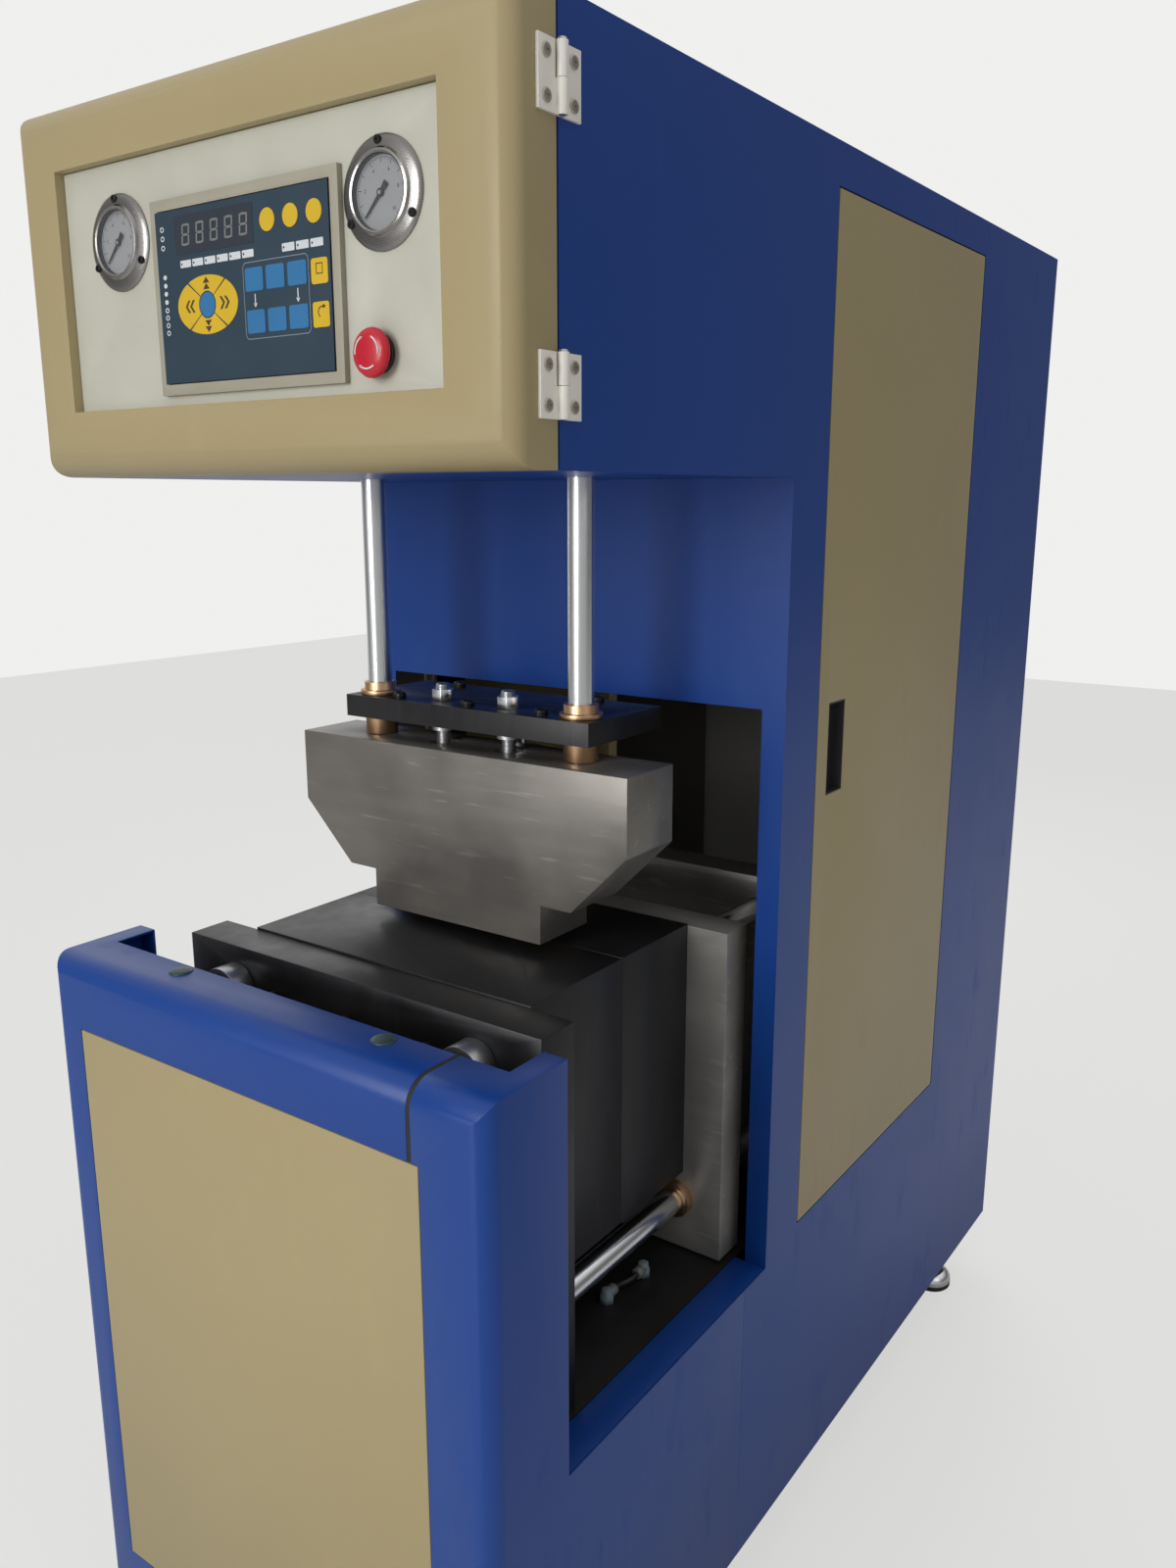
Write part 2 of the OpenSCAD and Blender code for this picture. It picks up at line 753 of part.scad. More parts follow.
// Hollow of one bottle, from its foot to the mouth in the mould's upper face
module bottle() {
    z0 = mould_low + bottle_floor;
    z1 = z0 + bottle_wall;
    shoulder = bottle_r - neck_r;
    rotate_extrude()
        polygon([[0, z0 + 6], [bottle_r * 0.45, z0 + 6], [bottle_r * 0.7, z0], [bottle_r - 6, z0],
                 [bottle_r, z0 + 8], [bottle_r, z1], [bottle_r - 4, z1 + 0.5 * shoulder],
                 [bottle_r - 14, z1 + 1.1 * shoulder], [neck_r, z1 + 1.7 * shoulder],
                 [neck_r, mould_top - 8], [neck_r + 4, mould_top - 8], [neck_r + 4, mould_top + 1],
                 [0, mould_top + 1]]);
}

module at_leaders() {
    for (s = sides, z = [mould_low + leader_inset, mould_top - leader_inset])
        translate([s * (mould_w / 2 - leader_side), y_part, z]) rotate([-90, 0, 0]) children();
}

module mould_front() {
    leader_l = 24;
    color(black) {
        difference() {
            block([-mould_w / 2, front_platen_y1, mould_low],
                  [mould_w / 2, y_part - part_gap / 2, mould_top]);
            for (s = sides) {
                translate([s * cavity_x, y_part, 0]) bottle();
                rod_y(tie_r + seat_gap, s * tie_high_x, tie_high, front_platen_y1 - 1, y_part);
            }
        }
        at_leaders() translate([0, 0, -part_gap / 2]) cylinder(r = leader_r, h = leader_l);
    }
}

module mould_rear() {
    leader_hole = 30;
    tie_clear = 1;
    color(black) difference() {
        block([-mould_w / 2, y_part + part_gap / 2, mould_low], [mould_w / 2, moving_y0, mould_top]);
        for (s = sides) {
            translate([s * cavity_x, y_part, 0]) bottle();
            rod_y(tie_r + tie_clear, s * tie_high_x, tie_high, y_part, moving_y0 + 1);
        }
        at_leaders() cylinder(r = leader_r + run_gap, h = leader_hole);
    }
}

module clamp_cylinder() {
    cap = 15;
    color(silver) difference() {
        union() {
            rod_y(cylinder_r, 0, clamp_z, rear_platen_y1, rear_platen_y1 + cylinder_length);
            for (y = [rear_platen_y1, rear_platen_y1 + cylinder_length - 2 * cap])
                block([-cylinder_r - 6, y, clamp_z - cylinder_r - 6],
                      [cylinder_r + 6, y + 2 * cap, clamp_z + cylinder_r + 6]);
        }
        rod_y(cylinder_r - cylinder_wall, 0, clamp_z, rear_platen_y1 + cap,
              rear_platen_y1 + cylinder_length - cap);
        rod_y(clamp_rod_r + run_gap, 0, clamp_z, rear_platen_y1 - 1, rear_platen_y1 + cap + 1);
    }
}

module clamp_rod() {
    piston_t = 25;
    piston = rear_platen_y1 + piston_t;
    color(chrome) {
        rod_y(clamp_rod_r + 18, 0, clamp_z, moving_y1, moving_y1 + rod_flange_t);
        rod_y(clamp_rod_r, 0, clamp_z, moving_y1 + rod_flange_t, piston);
        rod_y(cylinder_r - cylinder_wall - run_gap, 0, clamp_z, piston, piston + piston_t);
    }
}

// Head door and controls

module head_door() {
    y1 = y_door + door_depth;
    wall_y = panel_y + 2 * sheet;
    color(beige) {
        difference() {
            rounded_front(half_w, y_door, y1, z_head, machine_h, door_corner_r,
                          door_edge_r, door_edge_r);
            rounded_front(inner_w, y_door + sheet, y1 - sheet, z_head + sheet, z_cover,
                          door_corner_r - sheet, door_edge_r - sheet, door_edge_r - sheet);
            block([-inner_w + door_flange, y1 - sheet - 1, z_head + sheet + door_flange],
                  [inner_w - door_flange, y1 + 1, z_cover - door_flange]);
            block([panel_x0, y_door - 1, panel_z0], [panel_x1, y_door + sheet + 1, panel_z1]);
        }
        difference() {
            block([panel_x0 - sheet, y_door + sheet, panel_z0 - sheet],
                  [panel_x1 + sheet, wall_y, panel_z1 + sheet]);
            block([panel_x0, y_door, panel_z0], [panel_x1, wall_y - sheet, panel_z1]);
            block([panel_x0 + panel_lip, y_door, panel_z0 + panel_lip],
                  [panel_x1 - panel_lip, wall_y + 1, panel_z1 - panel_lip]);
        }
    }
}

module instrument_panel() {
    inset = 6;
    color("white") difference() {
        block([panel_x0 + seam / 2, panel_y, panel_z0 + seam / 2],
              [panel_x1 - seam / 2, panel_y + sheet, panel_z1 - seam / 2]);
        for (x = gauge_x)
            rod_y(gauge_r - 3 + seat_gap, x, gauge_z, panel_y - 1, panel_y + sheet + 1);
        rod_y(estop_neck_r + seat_gap, estop_x, estop_z, panel_y - 1, panel_y + sheet + 1);
        block([controller_x0 + inset, panel_y - 1, controller_z0 + inset],
              [controller_x0 + controller_w - inset, panel_y + sheet + 1,
               controller_z0 + controller_h - inset]);
    }
}

module controller_bezel() {
    pocket = 2;
    inset = 10;
    color([0.71, 0.68, 0.61]) difference() {
        block([controller_x0, panel_y - bezel_t, controller_z0],
              [controller_x0 + controller_w, panel_y, controller_z0 + controller_h]);
        block([keypad_x0 - seat_gap, panel_y - bezel_t - 1, keypad_z0 - seat_gap],
              [keypad_x0 + keypad_w + seat_gap, panel_y - bezel_t + pocket, keypad_z0 + keypad_h + seat_gap]);
        block([controller_x0 + inset, panel_y - bezel_t, controller_z0 + inset],
              [controller_x0 + controller_w - inset, panel_y + 1, controller_z0 + controller_h - inset]);
    }
}

module keypad() {
    color([0.17, 0.27, 0.33])
        block([keypad_x0, panel_y - bezel_t, keypad_z0],
              [keypad_x0 + keypad_w, panel_y - bezel_t + 2, keypad_z0 + keypad_h]);
}

module controller_box() {
    inset = 10 + seat_gap;
    color(black) block([controller_x0 + inset, panel_y - bezel_t + 2, controller_z0 + inset],
                       [controller_x0 + controller_w - inset, panel_y + controller_d,
                        controller_z0 + controller_h - inset]);
}

// Cup-shaped case with a rolled bezel and a dished mounting flange
module gauge_case(x) {
    case_r = gauge_r - 3;
    rim = 4.5;
    lip = 1.2;
    dish = 5;
    color(chrome) turned_y(x, gauge_face, gauge_z,
        [[gauge_r - rim, 0.6], [gauge_r - 3, 0], [gauge_r - 1.2, 0.6], [gauge_r, 2.4],
         [gauge_r + 0.6, gauge_proud - dish], [gauge_flange_r - 5, gauge_proud - dish + 1],
         [gauge_flange_r - 2, gauge_proud - dish + 2.2], [gauge_flange_r, gauge_proud - 1.2],
         [gauge_flange_r, gauge_proud],
         [case_r, gauge_proud], [case_r, gauge_proud + gauge_case_d], [0, gauge_proud + gauge_case_d],
         [0, gauge_floor], [case_r, gauge_floor], [case_r, lip], [gauge_r - rim, lip]]);
}

module gauge_dials() {
    dial_r = gauge_r - 3 - seat_gap;
    dial_t = 1.5;
    pin_h = 3.1;
    color([0.92, 0.92, 0.90]) for (x = gauge_x) turned_y(x, gauge_face + gauge_floor, gauge_z,
        [[0, -dial_t - pin_h], [1.5, -dial_t - pin_h], [1.5, -dial_t],
         [dial_r, -dial_t], [dial_r, 0], [0, 0]]);
}

module gauge_glasses() {
    color([0.85, 0.92, 0.95, 0.3]) for (x = gauge_x)
        rod_y(gauge_r - 3 - seat_gap, x, gauge_z, gauge_face + 1.2, gauge_face + 2.6);
}

// Needle about the dial's pivot, at zero, which lies lower left
module gauge_needle(x) {
    zero = 225;
    reach = gauge_r - 9;
    tail = 10;
    y0 = gauge_face + gauge_floor - 4.2;
    color(black) difference() {
        union() {
            rod_y(3.2, x, gauge_z, y0, y0 + 2);
            translate([x, y0 + 1.5, gauge_z]) rotate([0, -zero, 0]) rotate([90, 0, 0])
                linear_extrude(1) polygon([[-tail, -2.6], [-tail, 2.6], [0, 1.3], [reach, 0.4],
                                           [reach, -0.4], [0, -1.3]]);
        }
        rod_y(1.5 + run_gap, x, gauge_z, y0 - 1, y0 + 3);
    }
}

module estop_collar() {
    neck_d = 30;
    bore_d = 25;
    color(black) difference() {
        union() {
            rod_y(estop_r - 4, estop_x, estop_z, panel_y - collar_t, panel_y);
            rod_y(estop_neck_r, estop_x, estop_z, panel_y, panel_y + neck_d);
        }
        rod_y(8 + run_gap, estop_x, estop_z, panel_y - collar_t - 1, panel_y + bore_d);
    }
}

// Mushroom button on its stem, with a shallow crown
module estop_button() {
    cap_t = 9.5;
    gap = estop_travel + 1;
    face = panel_y - collar_t - gap - cap_t;
    color([0.78, 0.12, 0.16]) turned_y(estop_x, face, estop_z,
        [[0, 0], [estop_r * 0.25, 0.15], [estop_r * 0.5, 0.6], [estop_r * 0.72, 1.6],
         [estop_r * 0.86, 3], [estop_r * 0.95, 4.8], [estop_r, 7], [estop_r, cap_t - 1],
         [estop_r - 1, cap_t], [8, cap_t],
         [8, cap_t + gap + collar_t + 12], [0, cap_t + gap + collar_t + 12]]);
}

// One side of a hinge: a flat leaf with its knuckle, the door's below and the head's above
module hinge_leaf(s, z, upper) {
    gap = 0.2;
    root = knuckle_r + 1;
    range = upper ? [hinge_h / 2 + gap, hinge_h] : [0, hinge_h / 2 - gap];
    translate([hinge_x, hinge_y, z - hinge_h / 2]) difference() {
        union() {
            block([-knuckle_r, min(s * root, s * leaf_w), 0],
                  [-knuckle_r + leaf_t, max(s * root, s * leaf_w), hinge_h]);
            rod_z(knuckle_r, 0, 0, range[0], range[1]);
            block([-knuckle_r, min(0, s * root), range[0]],
                  [-knuckle_r + leaf_t, max(0, s * root), range[1]]);
        }
        rod_z(hinge_pin_r + run_gap, 0, 0, -1, hinge_h + 1);
    }
}

module hinge_leaves_head() {
    color(silver) for (z = hinge_z) hinge_leaf(1, z, true);
}

module hinge_leaves_door() {
    color(silver) for (z = hinge_z) hinge_leaf(-1, z, false);
}

// Pins with a small head on the upper knuckle
module hinge_pins() {
    color(steel) for (z = hinge_z) translate([hinge_x, hinge_y, z - hinge_h / 2]) {
        cylinder(r = hinge_pin_r, h = hinge_h);
        translate([0, 0, hinge_h]) cylinder(r1 = knuckle_r - 0.5, r2 = knuckle_r - 1.5, h = 2);
    }
}

// Side doors

module side_door(s) {
    y0 = door_y0 + seam;
    y1 = door_y1 - pivot_gap;
    z0 = side_door_low + seam;
    z1 = door_z1 - seam;
    cut = seat_gap;
    color(beige) mirror([s < 0 ? 1 : 0, 0, 0]) difference() {
        block([half_w - door_pan, y0, z0], [half_w, y1, z1]);
        difference() {
            block([half_w - door_pan - 1, y0 + sheet, z0 + sheet], [inner_w, y1 - sheet, z1 - sheet]);
            for (z = [z0, z1 - pivot_block])
                block([half_w - door_pan, y1 - pivot_block, z], [half_w, y1, z + pivot_block]);
        }
        for (z = [z0 - 1, z1 - pivot_block + 4])
            rod_z(pivot_r + run_gap, pivot_x, pivot_y, z, z + pivot_block - 3);
        block([inner_w - 1, y0 + pull_y - cut, pull_z - cut],
              [half_w + 1, y0 + pull_y + pull_w + cut, pull_z + pull_h + cut]);
    }
}

// Recessed pull: a thin flange on the door and a cup behind it
module door_pull(s) {
    y0 = door_y0 + seam + pull_y;
    wall = 2;
    color(black) mirror([s < 0 ? 1 : 0, 0, 0]) difference() {
        union() {
            block([half_w - pull_d, y0, pull_z], [half_w, y0 + pull_w, pull_z + pull_h]);
            block([inner_w - wall, y0 - 4, pull_z - 4], [inner_w, y0 + pull_w + 4, pull_z + pull_h + 4]);
        }
        block([half_w - pull_d + wall, y0 + wall, pull_z + wall],
              [half_w + 1, y0 + pull_w - wall, pull_z + pull_h - wall]);
    }
}

// Pivot brackets on the inside of the side sheets, above and below each door
module door_pivots() {
    gap = 0.5;
    deep = 14;
    bracket_t = 8;
    lap = 20;
    back = 8;
    color(steel) for (s = [0, 1]) mirror([s, 0, 0]) {
        z0 = side_door_low + seam - gap;
        z1 = door_z1 - seam + gap;
        block([inner_w - deep, pivot_y - back, z0 - bracket_t], [inner_w, pivot_y + lap, z0]);
        rod_z(pivot_r, pivot_x, pivot_y, z0, z0 + deep);
        block([inner_w - deep, pivot_y - back, z1], [inner_w, pivot_y + lap, z1 + bracket_t]);
        rod_z(pivot_r, pivot_x, pivot_y, z1 - deep, z1);
    }
}

// Rear services: each entry is [x, outer radius, bore radius]
fitting_z = 220;
fittings = [[-200, 15, 9.5], [-120, 13, 7]];

module rear_fittings() {
    proud = 10;
    inside = 14;
    flange = 5;
    color(bronze) for (f = fittings) difference() {
        union() {
            rod_y(f[1], f[0], fitting_z, y_rear - sheet - inside, y_rear + proud);
            rod_y(f[1] + flange, f[0], fitting_z, y_rear, y_rear + 4);
        }
        rod_y(f[2], f[0], fitting_z, y_rear - sheet - inside - 1, y_rear + proud + 1);
    }
}

base_plate();
foot_pads();
foot_cups();
foot_studs();
base_shell();
base_panel();
sill(-1);  // sill_left
sill(1);  // sill_right
bed_plate(-1);  // bed_plate_left
bed_plate(1);  // bed_plate_right
bed_cover();
side_shell(-1);  // side_shell_left
side_shell(1);  // side_shell_right
column_front_wall();
rear_panel();
top_cover();
head_floor();
head_beam();
guide_rod(-1);  // guide_rod_left
guide_rod(1);  // guide_rod_right
guide_rod_nuts();
crosshead();
seal_plate();
seal_bushes();
blow_nozzles();
nozzle_nuts();
lift_cylinder();
lift_rod();
front_platen();
moving_platen();
rear_platen();
tie_bars();
tie_bar_nuts();
platen_bushes();
mould_front();
mould_rear();
clamp_cylinder();
clamp_rod();
head_door();
instrument_panel();
controller_bezel();
keypad();
controller_box();
gauge_case(-gauge_left_x);  // gauge_case_left
gauge_case(gauge_right_x);  // gauge_case_right
gauge_dials();
gauge_glasses();
gauge_needle(-gauge_left_x);  // gauge_needle_left
gauge_needle(gauge_right_x);  // gauge_needle_right
estop_collar();
estop_button();
hinge_leaves_head();
hinge_leaves_door();
hinge_pins();
side_door(-1);  // side_door_left
side_door(1);  // side_door_right
door_pull(-1);  // door_pull_left
door_pull(1);  // door_pull_right
door_pivots();
rear_fittings();
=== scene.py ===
"""Looks of the two-cavity bottle blow moulding machine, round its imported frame.

Places are in millimetres in the frame's own axes until a mesh is made, which is in metres.
"""
import json
import math

import bmesh
import bpy
from mathutils import Euler, Matrix, Vector


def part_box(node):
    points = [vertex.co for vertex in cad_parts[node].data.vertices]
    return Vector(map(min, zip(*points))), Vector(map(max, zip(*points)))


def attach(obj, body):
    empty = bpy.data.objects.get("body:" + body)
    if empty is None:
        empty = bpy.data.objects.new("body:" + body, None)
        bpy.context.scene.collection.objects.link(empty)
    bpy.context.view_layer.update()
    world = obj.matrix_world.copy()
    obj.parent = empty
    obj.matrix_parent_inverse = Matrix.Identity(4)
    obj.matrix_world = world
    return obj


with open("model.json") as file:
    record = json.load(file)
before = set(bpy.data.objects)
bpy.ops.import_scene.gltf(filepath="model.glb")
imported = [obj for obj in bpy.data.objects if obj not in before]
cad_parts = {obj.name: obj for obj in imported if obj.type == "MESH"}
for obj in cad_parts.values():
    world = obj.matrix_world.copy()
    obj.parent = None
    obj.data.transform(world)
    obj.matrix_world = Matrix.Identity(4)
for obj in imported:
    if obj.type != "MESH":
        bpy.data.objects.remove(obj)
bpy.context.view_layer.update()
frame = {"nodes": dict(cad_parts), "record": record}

MM = 0.001
# How far a mask reaches past the face that it ends on, in millimetres.
SKIN = 0.1


def linear(red, green, blue):
    """A screen colour, 0 to 255 a channel, as the linear colour that shaders read."""
    def channel(value):
        share = value / 255
        return share / 12.92 if share <= 0.04045 else ((share + 0.055) / 1.055) ** 2.4
    return (channel(red), channel(green), channel(blue), 1.0)


BLUE = linear(15, 62, 139)
BEIGE = linear(164, 149, 110)
BLACK = linear(34, 34, 36)
BLOCK_GREY = linear(122, 118, 112)
PLATEN_GREY = linear(154, 151, 146)
PANEL_WHITE = linear(186, 185, 171)
BEZEL = linear(156, 151, 134)
FILM_BLUE = linear(36, 56, 70)
KEY_YELLOW = linear(208, 172, 36)
KEY_BLUE = linear(44, 110, 160)
STOP_RED = linear(188, 26, 44)
PRIMER = linear(134, 132, 127)
INK = linear(40, 38, 40)
DUST = linear(150, 146, 136)
CASE_CHROME = (0.38, 0.365, 0.35, 1.0)
# The flanges' darker chrome is painted shade, dimming the lamp's reflection on them.
SHADED_FLANGE_CHROME = (0.26, 0.25, 0.24, 1.0)
CASE_STAIN = (0.20, 0.19, 0.18, 1.0)


def node_box(node):
    """Lowest and highest corner of a CAD node in millimetres."""
    low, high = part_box(node)
    return low / MM, high / MM


def node_middle(node):
    """Middle of a CAD node's box in X and Z, in millimetres."""
    low, high = node_box(node)
    return (low.x + high.x) / 2, (low.z + high.z) / 2


# Shader signals and finishes

class Signal:
    """A number that varies over a surface, with Python's own operators."""

    def __init__(self, finish, socket):
        self.finish = finish
        self.socket = socket

    def __add__(self, other):
        return self.finish.maths("ADD", self, other)

    def __sub__(self, other):
        return self.finish.maths("SUBTRACT", self, other)

    def __rsub__(self, other):
        return self.finish.maths("SUBTRACT", other, self)

    def __mul__(self, other):
        return self.finish.maths("MULTIPLY", self, other)

    __radd__ = __add__
    __rmul__ = __mul__


class Finish:
    """One material: a Principled surface and the nodes that vary it."""

    def __init__(self, name, colour, roughness=0.5, metallic=0.0, **constants):
        self.material = bpy.data.materials.new(name)
        self.material.use_nodes = True
        self.tree = self.material.node_tree
        self.tree.nodes.clear()
        self.surface = self.node("ShaderNodeBsdfPrincipled", {}, {
            "Base Color": colour, "Roughness": roughness, "Metallic": metallic, **constants})
        self.output = self.node("ShaderNodeOutputMaterial", {}, {"Surface": self.surface.outputs["BSDF"]})
        self.place = self.node("ShaderNodeTexCoord").outputs["Object"]
        self.material.diffuse_color = colour

    @classmethod
    def bare(cls, tree):
        """The same tools on an emptied tree with no surface, for the room. Its place is a direction."""
        made = cls.__new__(cls)
        made.tree = tree
        tree.nodes.clear()
        made.place = made.node("ShaderNodeTexCoord").outputs["Generated"]
        return made

    def node(self, kind, settings=None, sockets=None):
        """A node of this kind, with its settings made first and then its sockets fed."""
        made = self.tree.nodes.new(kind)
        for name, value in (settings or {}).items():
            if name == "stops":
                self.set_stops(made.color_ramp, value)
            else:
                setattr(made, name, value)
        for name, value in (sockets or {}).items():
            self.feed(made.inputs[name], value)
        return made

    def feed(self, socket, value):
        """Links a signal or a socket to a socket, or sets a plain value in it."""
        if isinstance(value, Signal):
            value = value.socket
        if isinstance(value, bpy.types.NodeSocket):
            self.tree.links.new(value, socket)
        else:
            socket.default_value = value

    @staticmethod
    def set_stops(ramp, stops):
        """Grey stops of a ramp, each a place and a shade from 0 to 1."""
        while len(ramp.elements) < len(stops):
            ramp.elements.new(1.0)
        for element, (place, shade) in zip(ramp.elements, stops):
            element.position = place
            element.color = (shade, shade, shade, 1.0)

    def maths(self, operation, first, second):
        """One step of arithmetic on signals or numbers."""
        made = self.node("ShaderNodeMath", {"operation": operation}, {0: first, 1: second})
        return Signal(self, made.outputs[0])

    def stretched(self, stretch):
        """The place, scaled along each axis: a small scale draws a pattern out."""
        made = self.node("ShaderNodeMapping", {}, {"Vector": self.place, "Scale": stretch})
        return made.outputs["Vector"]

    def noise(self, scale, detail=3.0, stretch=(1.0, 1.0, 1.0)):
        """Cloudy noise from 0 to 1 with this many cells to the metre."""
        made = self.node("ShaderNodeTexNoise", {}, {
            "Vector": self.stretched(stretch), "Scale": scale, "Detail": detail})
        return Signal(self, made.outputs["Fac"])

    def rings(self, axis, pitch):
        """Fine turning or grinding marks across an axis, this far apart in metres."""
        made = self.node("ShaderNodeTexWave", {
            "wave_type": "BANDS", "bands_direction": axis}, {
            "Vector": self.place, "Scale": 0.314 / pitch, "Distortion": 1.5, "Detail": 2.0})
        return Signal(self, made.outputs["Fac"])

    def ramp(self, signal, *stops):
        """A signal bent to grey stops."""
        made = self.node("ShaderNodeValToRGB", {"stops": stops}, {"Fac": signal})
        return Signal(self, made.outputs["Color"])

    def along(self, axis):
        """Place along an axis in metres. Along Z it is the height above the floor."""
        made = self.node("ShaderNodeSeparateXYZ", {}, {"Vector": self.place})
        return Signal(self, made.outputs[axis])

    def within(self, axis, low, high):
        """1 where the place along an axis is between two values in millimetres, and 0 elsewhere."""
        place = self.along(axis)
        return self.maths("GREATER_THAN", place, low * MM) * self.maths("LESS_THAN", place, high * MM)

    def tint(self, *layers):
        """Base colour from layers of (factor, colour), each over the last. The first has no factor."""
        shade = layers[0]
        for factor, colour in layers[1:]:
            mixed = self.node("ShaderNodeMix", {"data_type": "RGBA", "clamp_factor": True}, {
                0: factor, 6: shade, 7: colour})
            shade = mixed.outputs[2]
        self.feed(self.surface.inputs["Base Color"], shade)

    def roughen(self, signal):
        """Roughness from a signal."""
        self.feed(self.surface.inputs["Roughness"], signal)

    def bump(self, *layers):
        """Bumps from layers of (height signal, height in metres)."""
        normal = None
        for signal, depth in layers:
            sockets = {"Height": signal, "Strength": 1.0, "Distance": depth}
            if normal is not None:
                sockets["Normal"] = normal
            normal = self.node("ShaderNodeBump", {}, sockets).outputs["Normal"]
        self.feed(self.surface.inputs["Normal"], normal)


def shade_of(colour, factor):
    """The same colour, lighter or darker."""
    return tuple(min(1.0, c * factor) for c in colour[:3]) + (1.0,)


def cabinet_inside(finish):
    """1 on the sheets' faces that look into the head and the column, and 0 elsewhere."""
    wall_high = node_box("column_front_wall")[1]
    floor_low, floor_high = node_box("head_floor")
    rear_low, rear_high = node_box("rear_panel")
    across = finish.within("X", -wall_high.x - SKIN, wall_high.x + SKIN)
    upright = finish.within("Z", node_box("base_plate")[1].z - SKIN, rear_high.z + SKIN)
    column = finish.within("Y", wall_high.y - SKIN, rear_low.y + SKIN)
    head = (finish.within("Y", floor_low.y + SKIN, wall_high.y)
            * finish.within("Z", floor_high.z - SKIN, rear_high.z + SKIN))
    return across * upright * finish.maths("MAXIMUM", column, head)


def powder_coat(name, colour, roughness, grain, grain_depth, drift, primed_inside=False):
    """Stoved powder paint: fine peel, slow drift of shade, dust low down and small scuffs."""
    finish = Finish(name, colour, roughness, 0.0, **{"Specular IOR Level": 0.4})
    cloud = finish.noise(2.2, 4.0)
    scuffs = finish.ramp(finish.noise(26.0, 8.0, (1.0, 1.0, 0.35)), (0.60, 0.0), (0.72, 1.0))
    dust = finish.ramp(finish.along("Z") + finish.noise(9.0, 4.0) * 0.22, (0.16, 1.0), (0.42, 0.0))
    layers = [shade_of(colour, 1.0 - drift), (cloud, shade_of(colour, 1.0 + drift))]
    if primed_inside:
        layers.append((cabinet_inside(finish), PRIMER))
    finish.tint(*layers, (scuffs * 0.06, shade_of(colour, 1.4)), (dust * 0.16, DUST))
    finish.roughen(finish.noise(9.0, 3.0) * 0.10 + scuffs * 0.08 + dust * 0.2 + (roughness - 0.05))
    finish.bump((finish.noise(grain, 2.0), grain_depth), (finish.noise(3.0, 2.0), 0.0012))
    return finish.material


def bare_metal(name, colour, roughness, axis, pitch, stain=0.25, metallic=1.0):
    """Turned, ground or drawn metal with marks across an axis and faint stains."""
    finish = Finish(name, colour, roughness, metallic)
    marks = finish.rings(axis, pitch)
    stains = finish.noise(30.0, 6.0)
    finish.tint(colour, (stains * stain, shade_of(colour, 0.55)))
    finish.roughen(stains * 0.16 + marks * 0.06 + (roughness - 0.08))
    finish.bump((marks, 0.00002), (finish.noise(240.0, 2.0), 0.00002))
    return finish.material


def gauge_metal():
    """The gauges' cases: polished bezels, and satin flanges where they lie on the panel. The flanges'
    darker colour is painted shade that dims the lamp's reflection on them.
    """
    finish = Finish("gauge_chrome", CASE_CHROME, 0.13, 1.0)
    flange_proud = 5.3
    panel_face = node_box("instrument_panel")[0].y
    case_back = node_box("gauge_case_left")[1].y
    flange = finish.within("Y", panel_face - flange_proud, case_back + SKIN)
    marks = finish.rings("Z", 0.0011)
    stains = finish.noise(30.0, 6.0)
    # On the flange the darker colour is painted shade; the extra roughness is its real satin finish.
    finish.tint(CASE_CHROME, (flange, SHADED_FLANGE_CHROME), (stains * 0.3, CASE_STAIN))
    finish.roughen(stains * 0.16 + marks * 0.06 + flange * 0.12 + 0.05)
    finish.bump((marks, 0.00002), (finish.noise(240.0, 2.0), 0.00002))
    return finish.material


def worked_steel(name, colour, roughness, metallic, streak):
    """Painted or blackened plate with tool streaks, scratches and oily patches."""
    finish = Finish(name, colour, roughness, metallic)
    streaks = finish.noise(60.0, 4.0, streak)
    oil = finish.ramp(finish.noise(7.0, 5.0), (0.42, 0.0), (0.62, 1.0))
    scratches = finish.ramp(finish.noise(130.0, 3.0, streak), (0.62, 0.0), (0.70, 1.0))
    finish.tint(colour, (streaks * 0.7, shade_of(colour, 1.5)), (scratches * 0.22, shade_of(colour, 3.0)),
                (oil * 0.3, shade_of(colour, 0.6)))
    finish.roughen(streaks * 0.16 + (roughness - 0.04) - oil * 0.14)
    finish.bump((streaks, 0.00012), (scratches, 0.00005))
    return finish.material


def moulded(name, colour, roughness, grain=900.0, depth=0.00004):
    """Moulded plastic, film or rubber with a fine grain."""
    finish = Finish(name, colour, roughness)
    cloud = finish.noise(20.0, 4.0)
    finish.tint(shade_of(colour, 0.92), (cloud, shade_of(colour, 1.08)))
    finish.roughen(cloud * 0.14 + (roughness - 0.07))
    finish.bump((finish.noise(grain, 2.0), depth))
    return finish.material


def clear_glass():
    """Thin clear glass with faint smears."""
    finish = Finish("gauge_glass", (0.20, 0.22, 0.23, 1.0), 0.03, 0.0, **{"Alpha": 0.14, "IOR": 1.5})
    smears = finish.noise(40.0, 4.0)
    finish.roughen(smears * 0.05 + 0.01)
    return finish.material


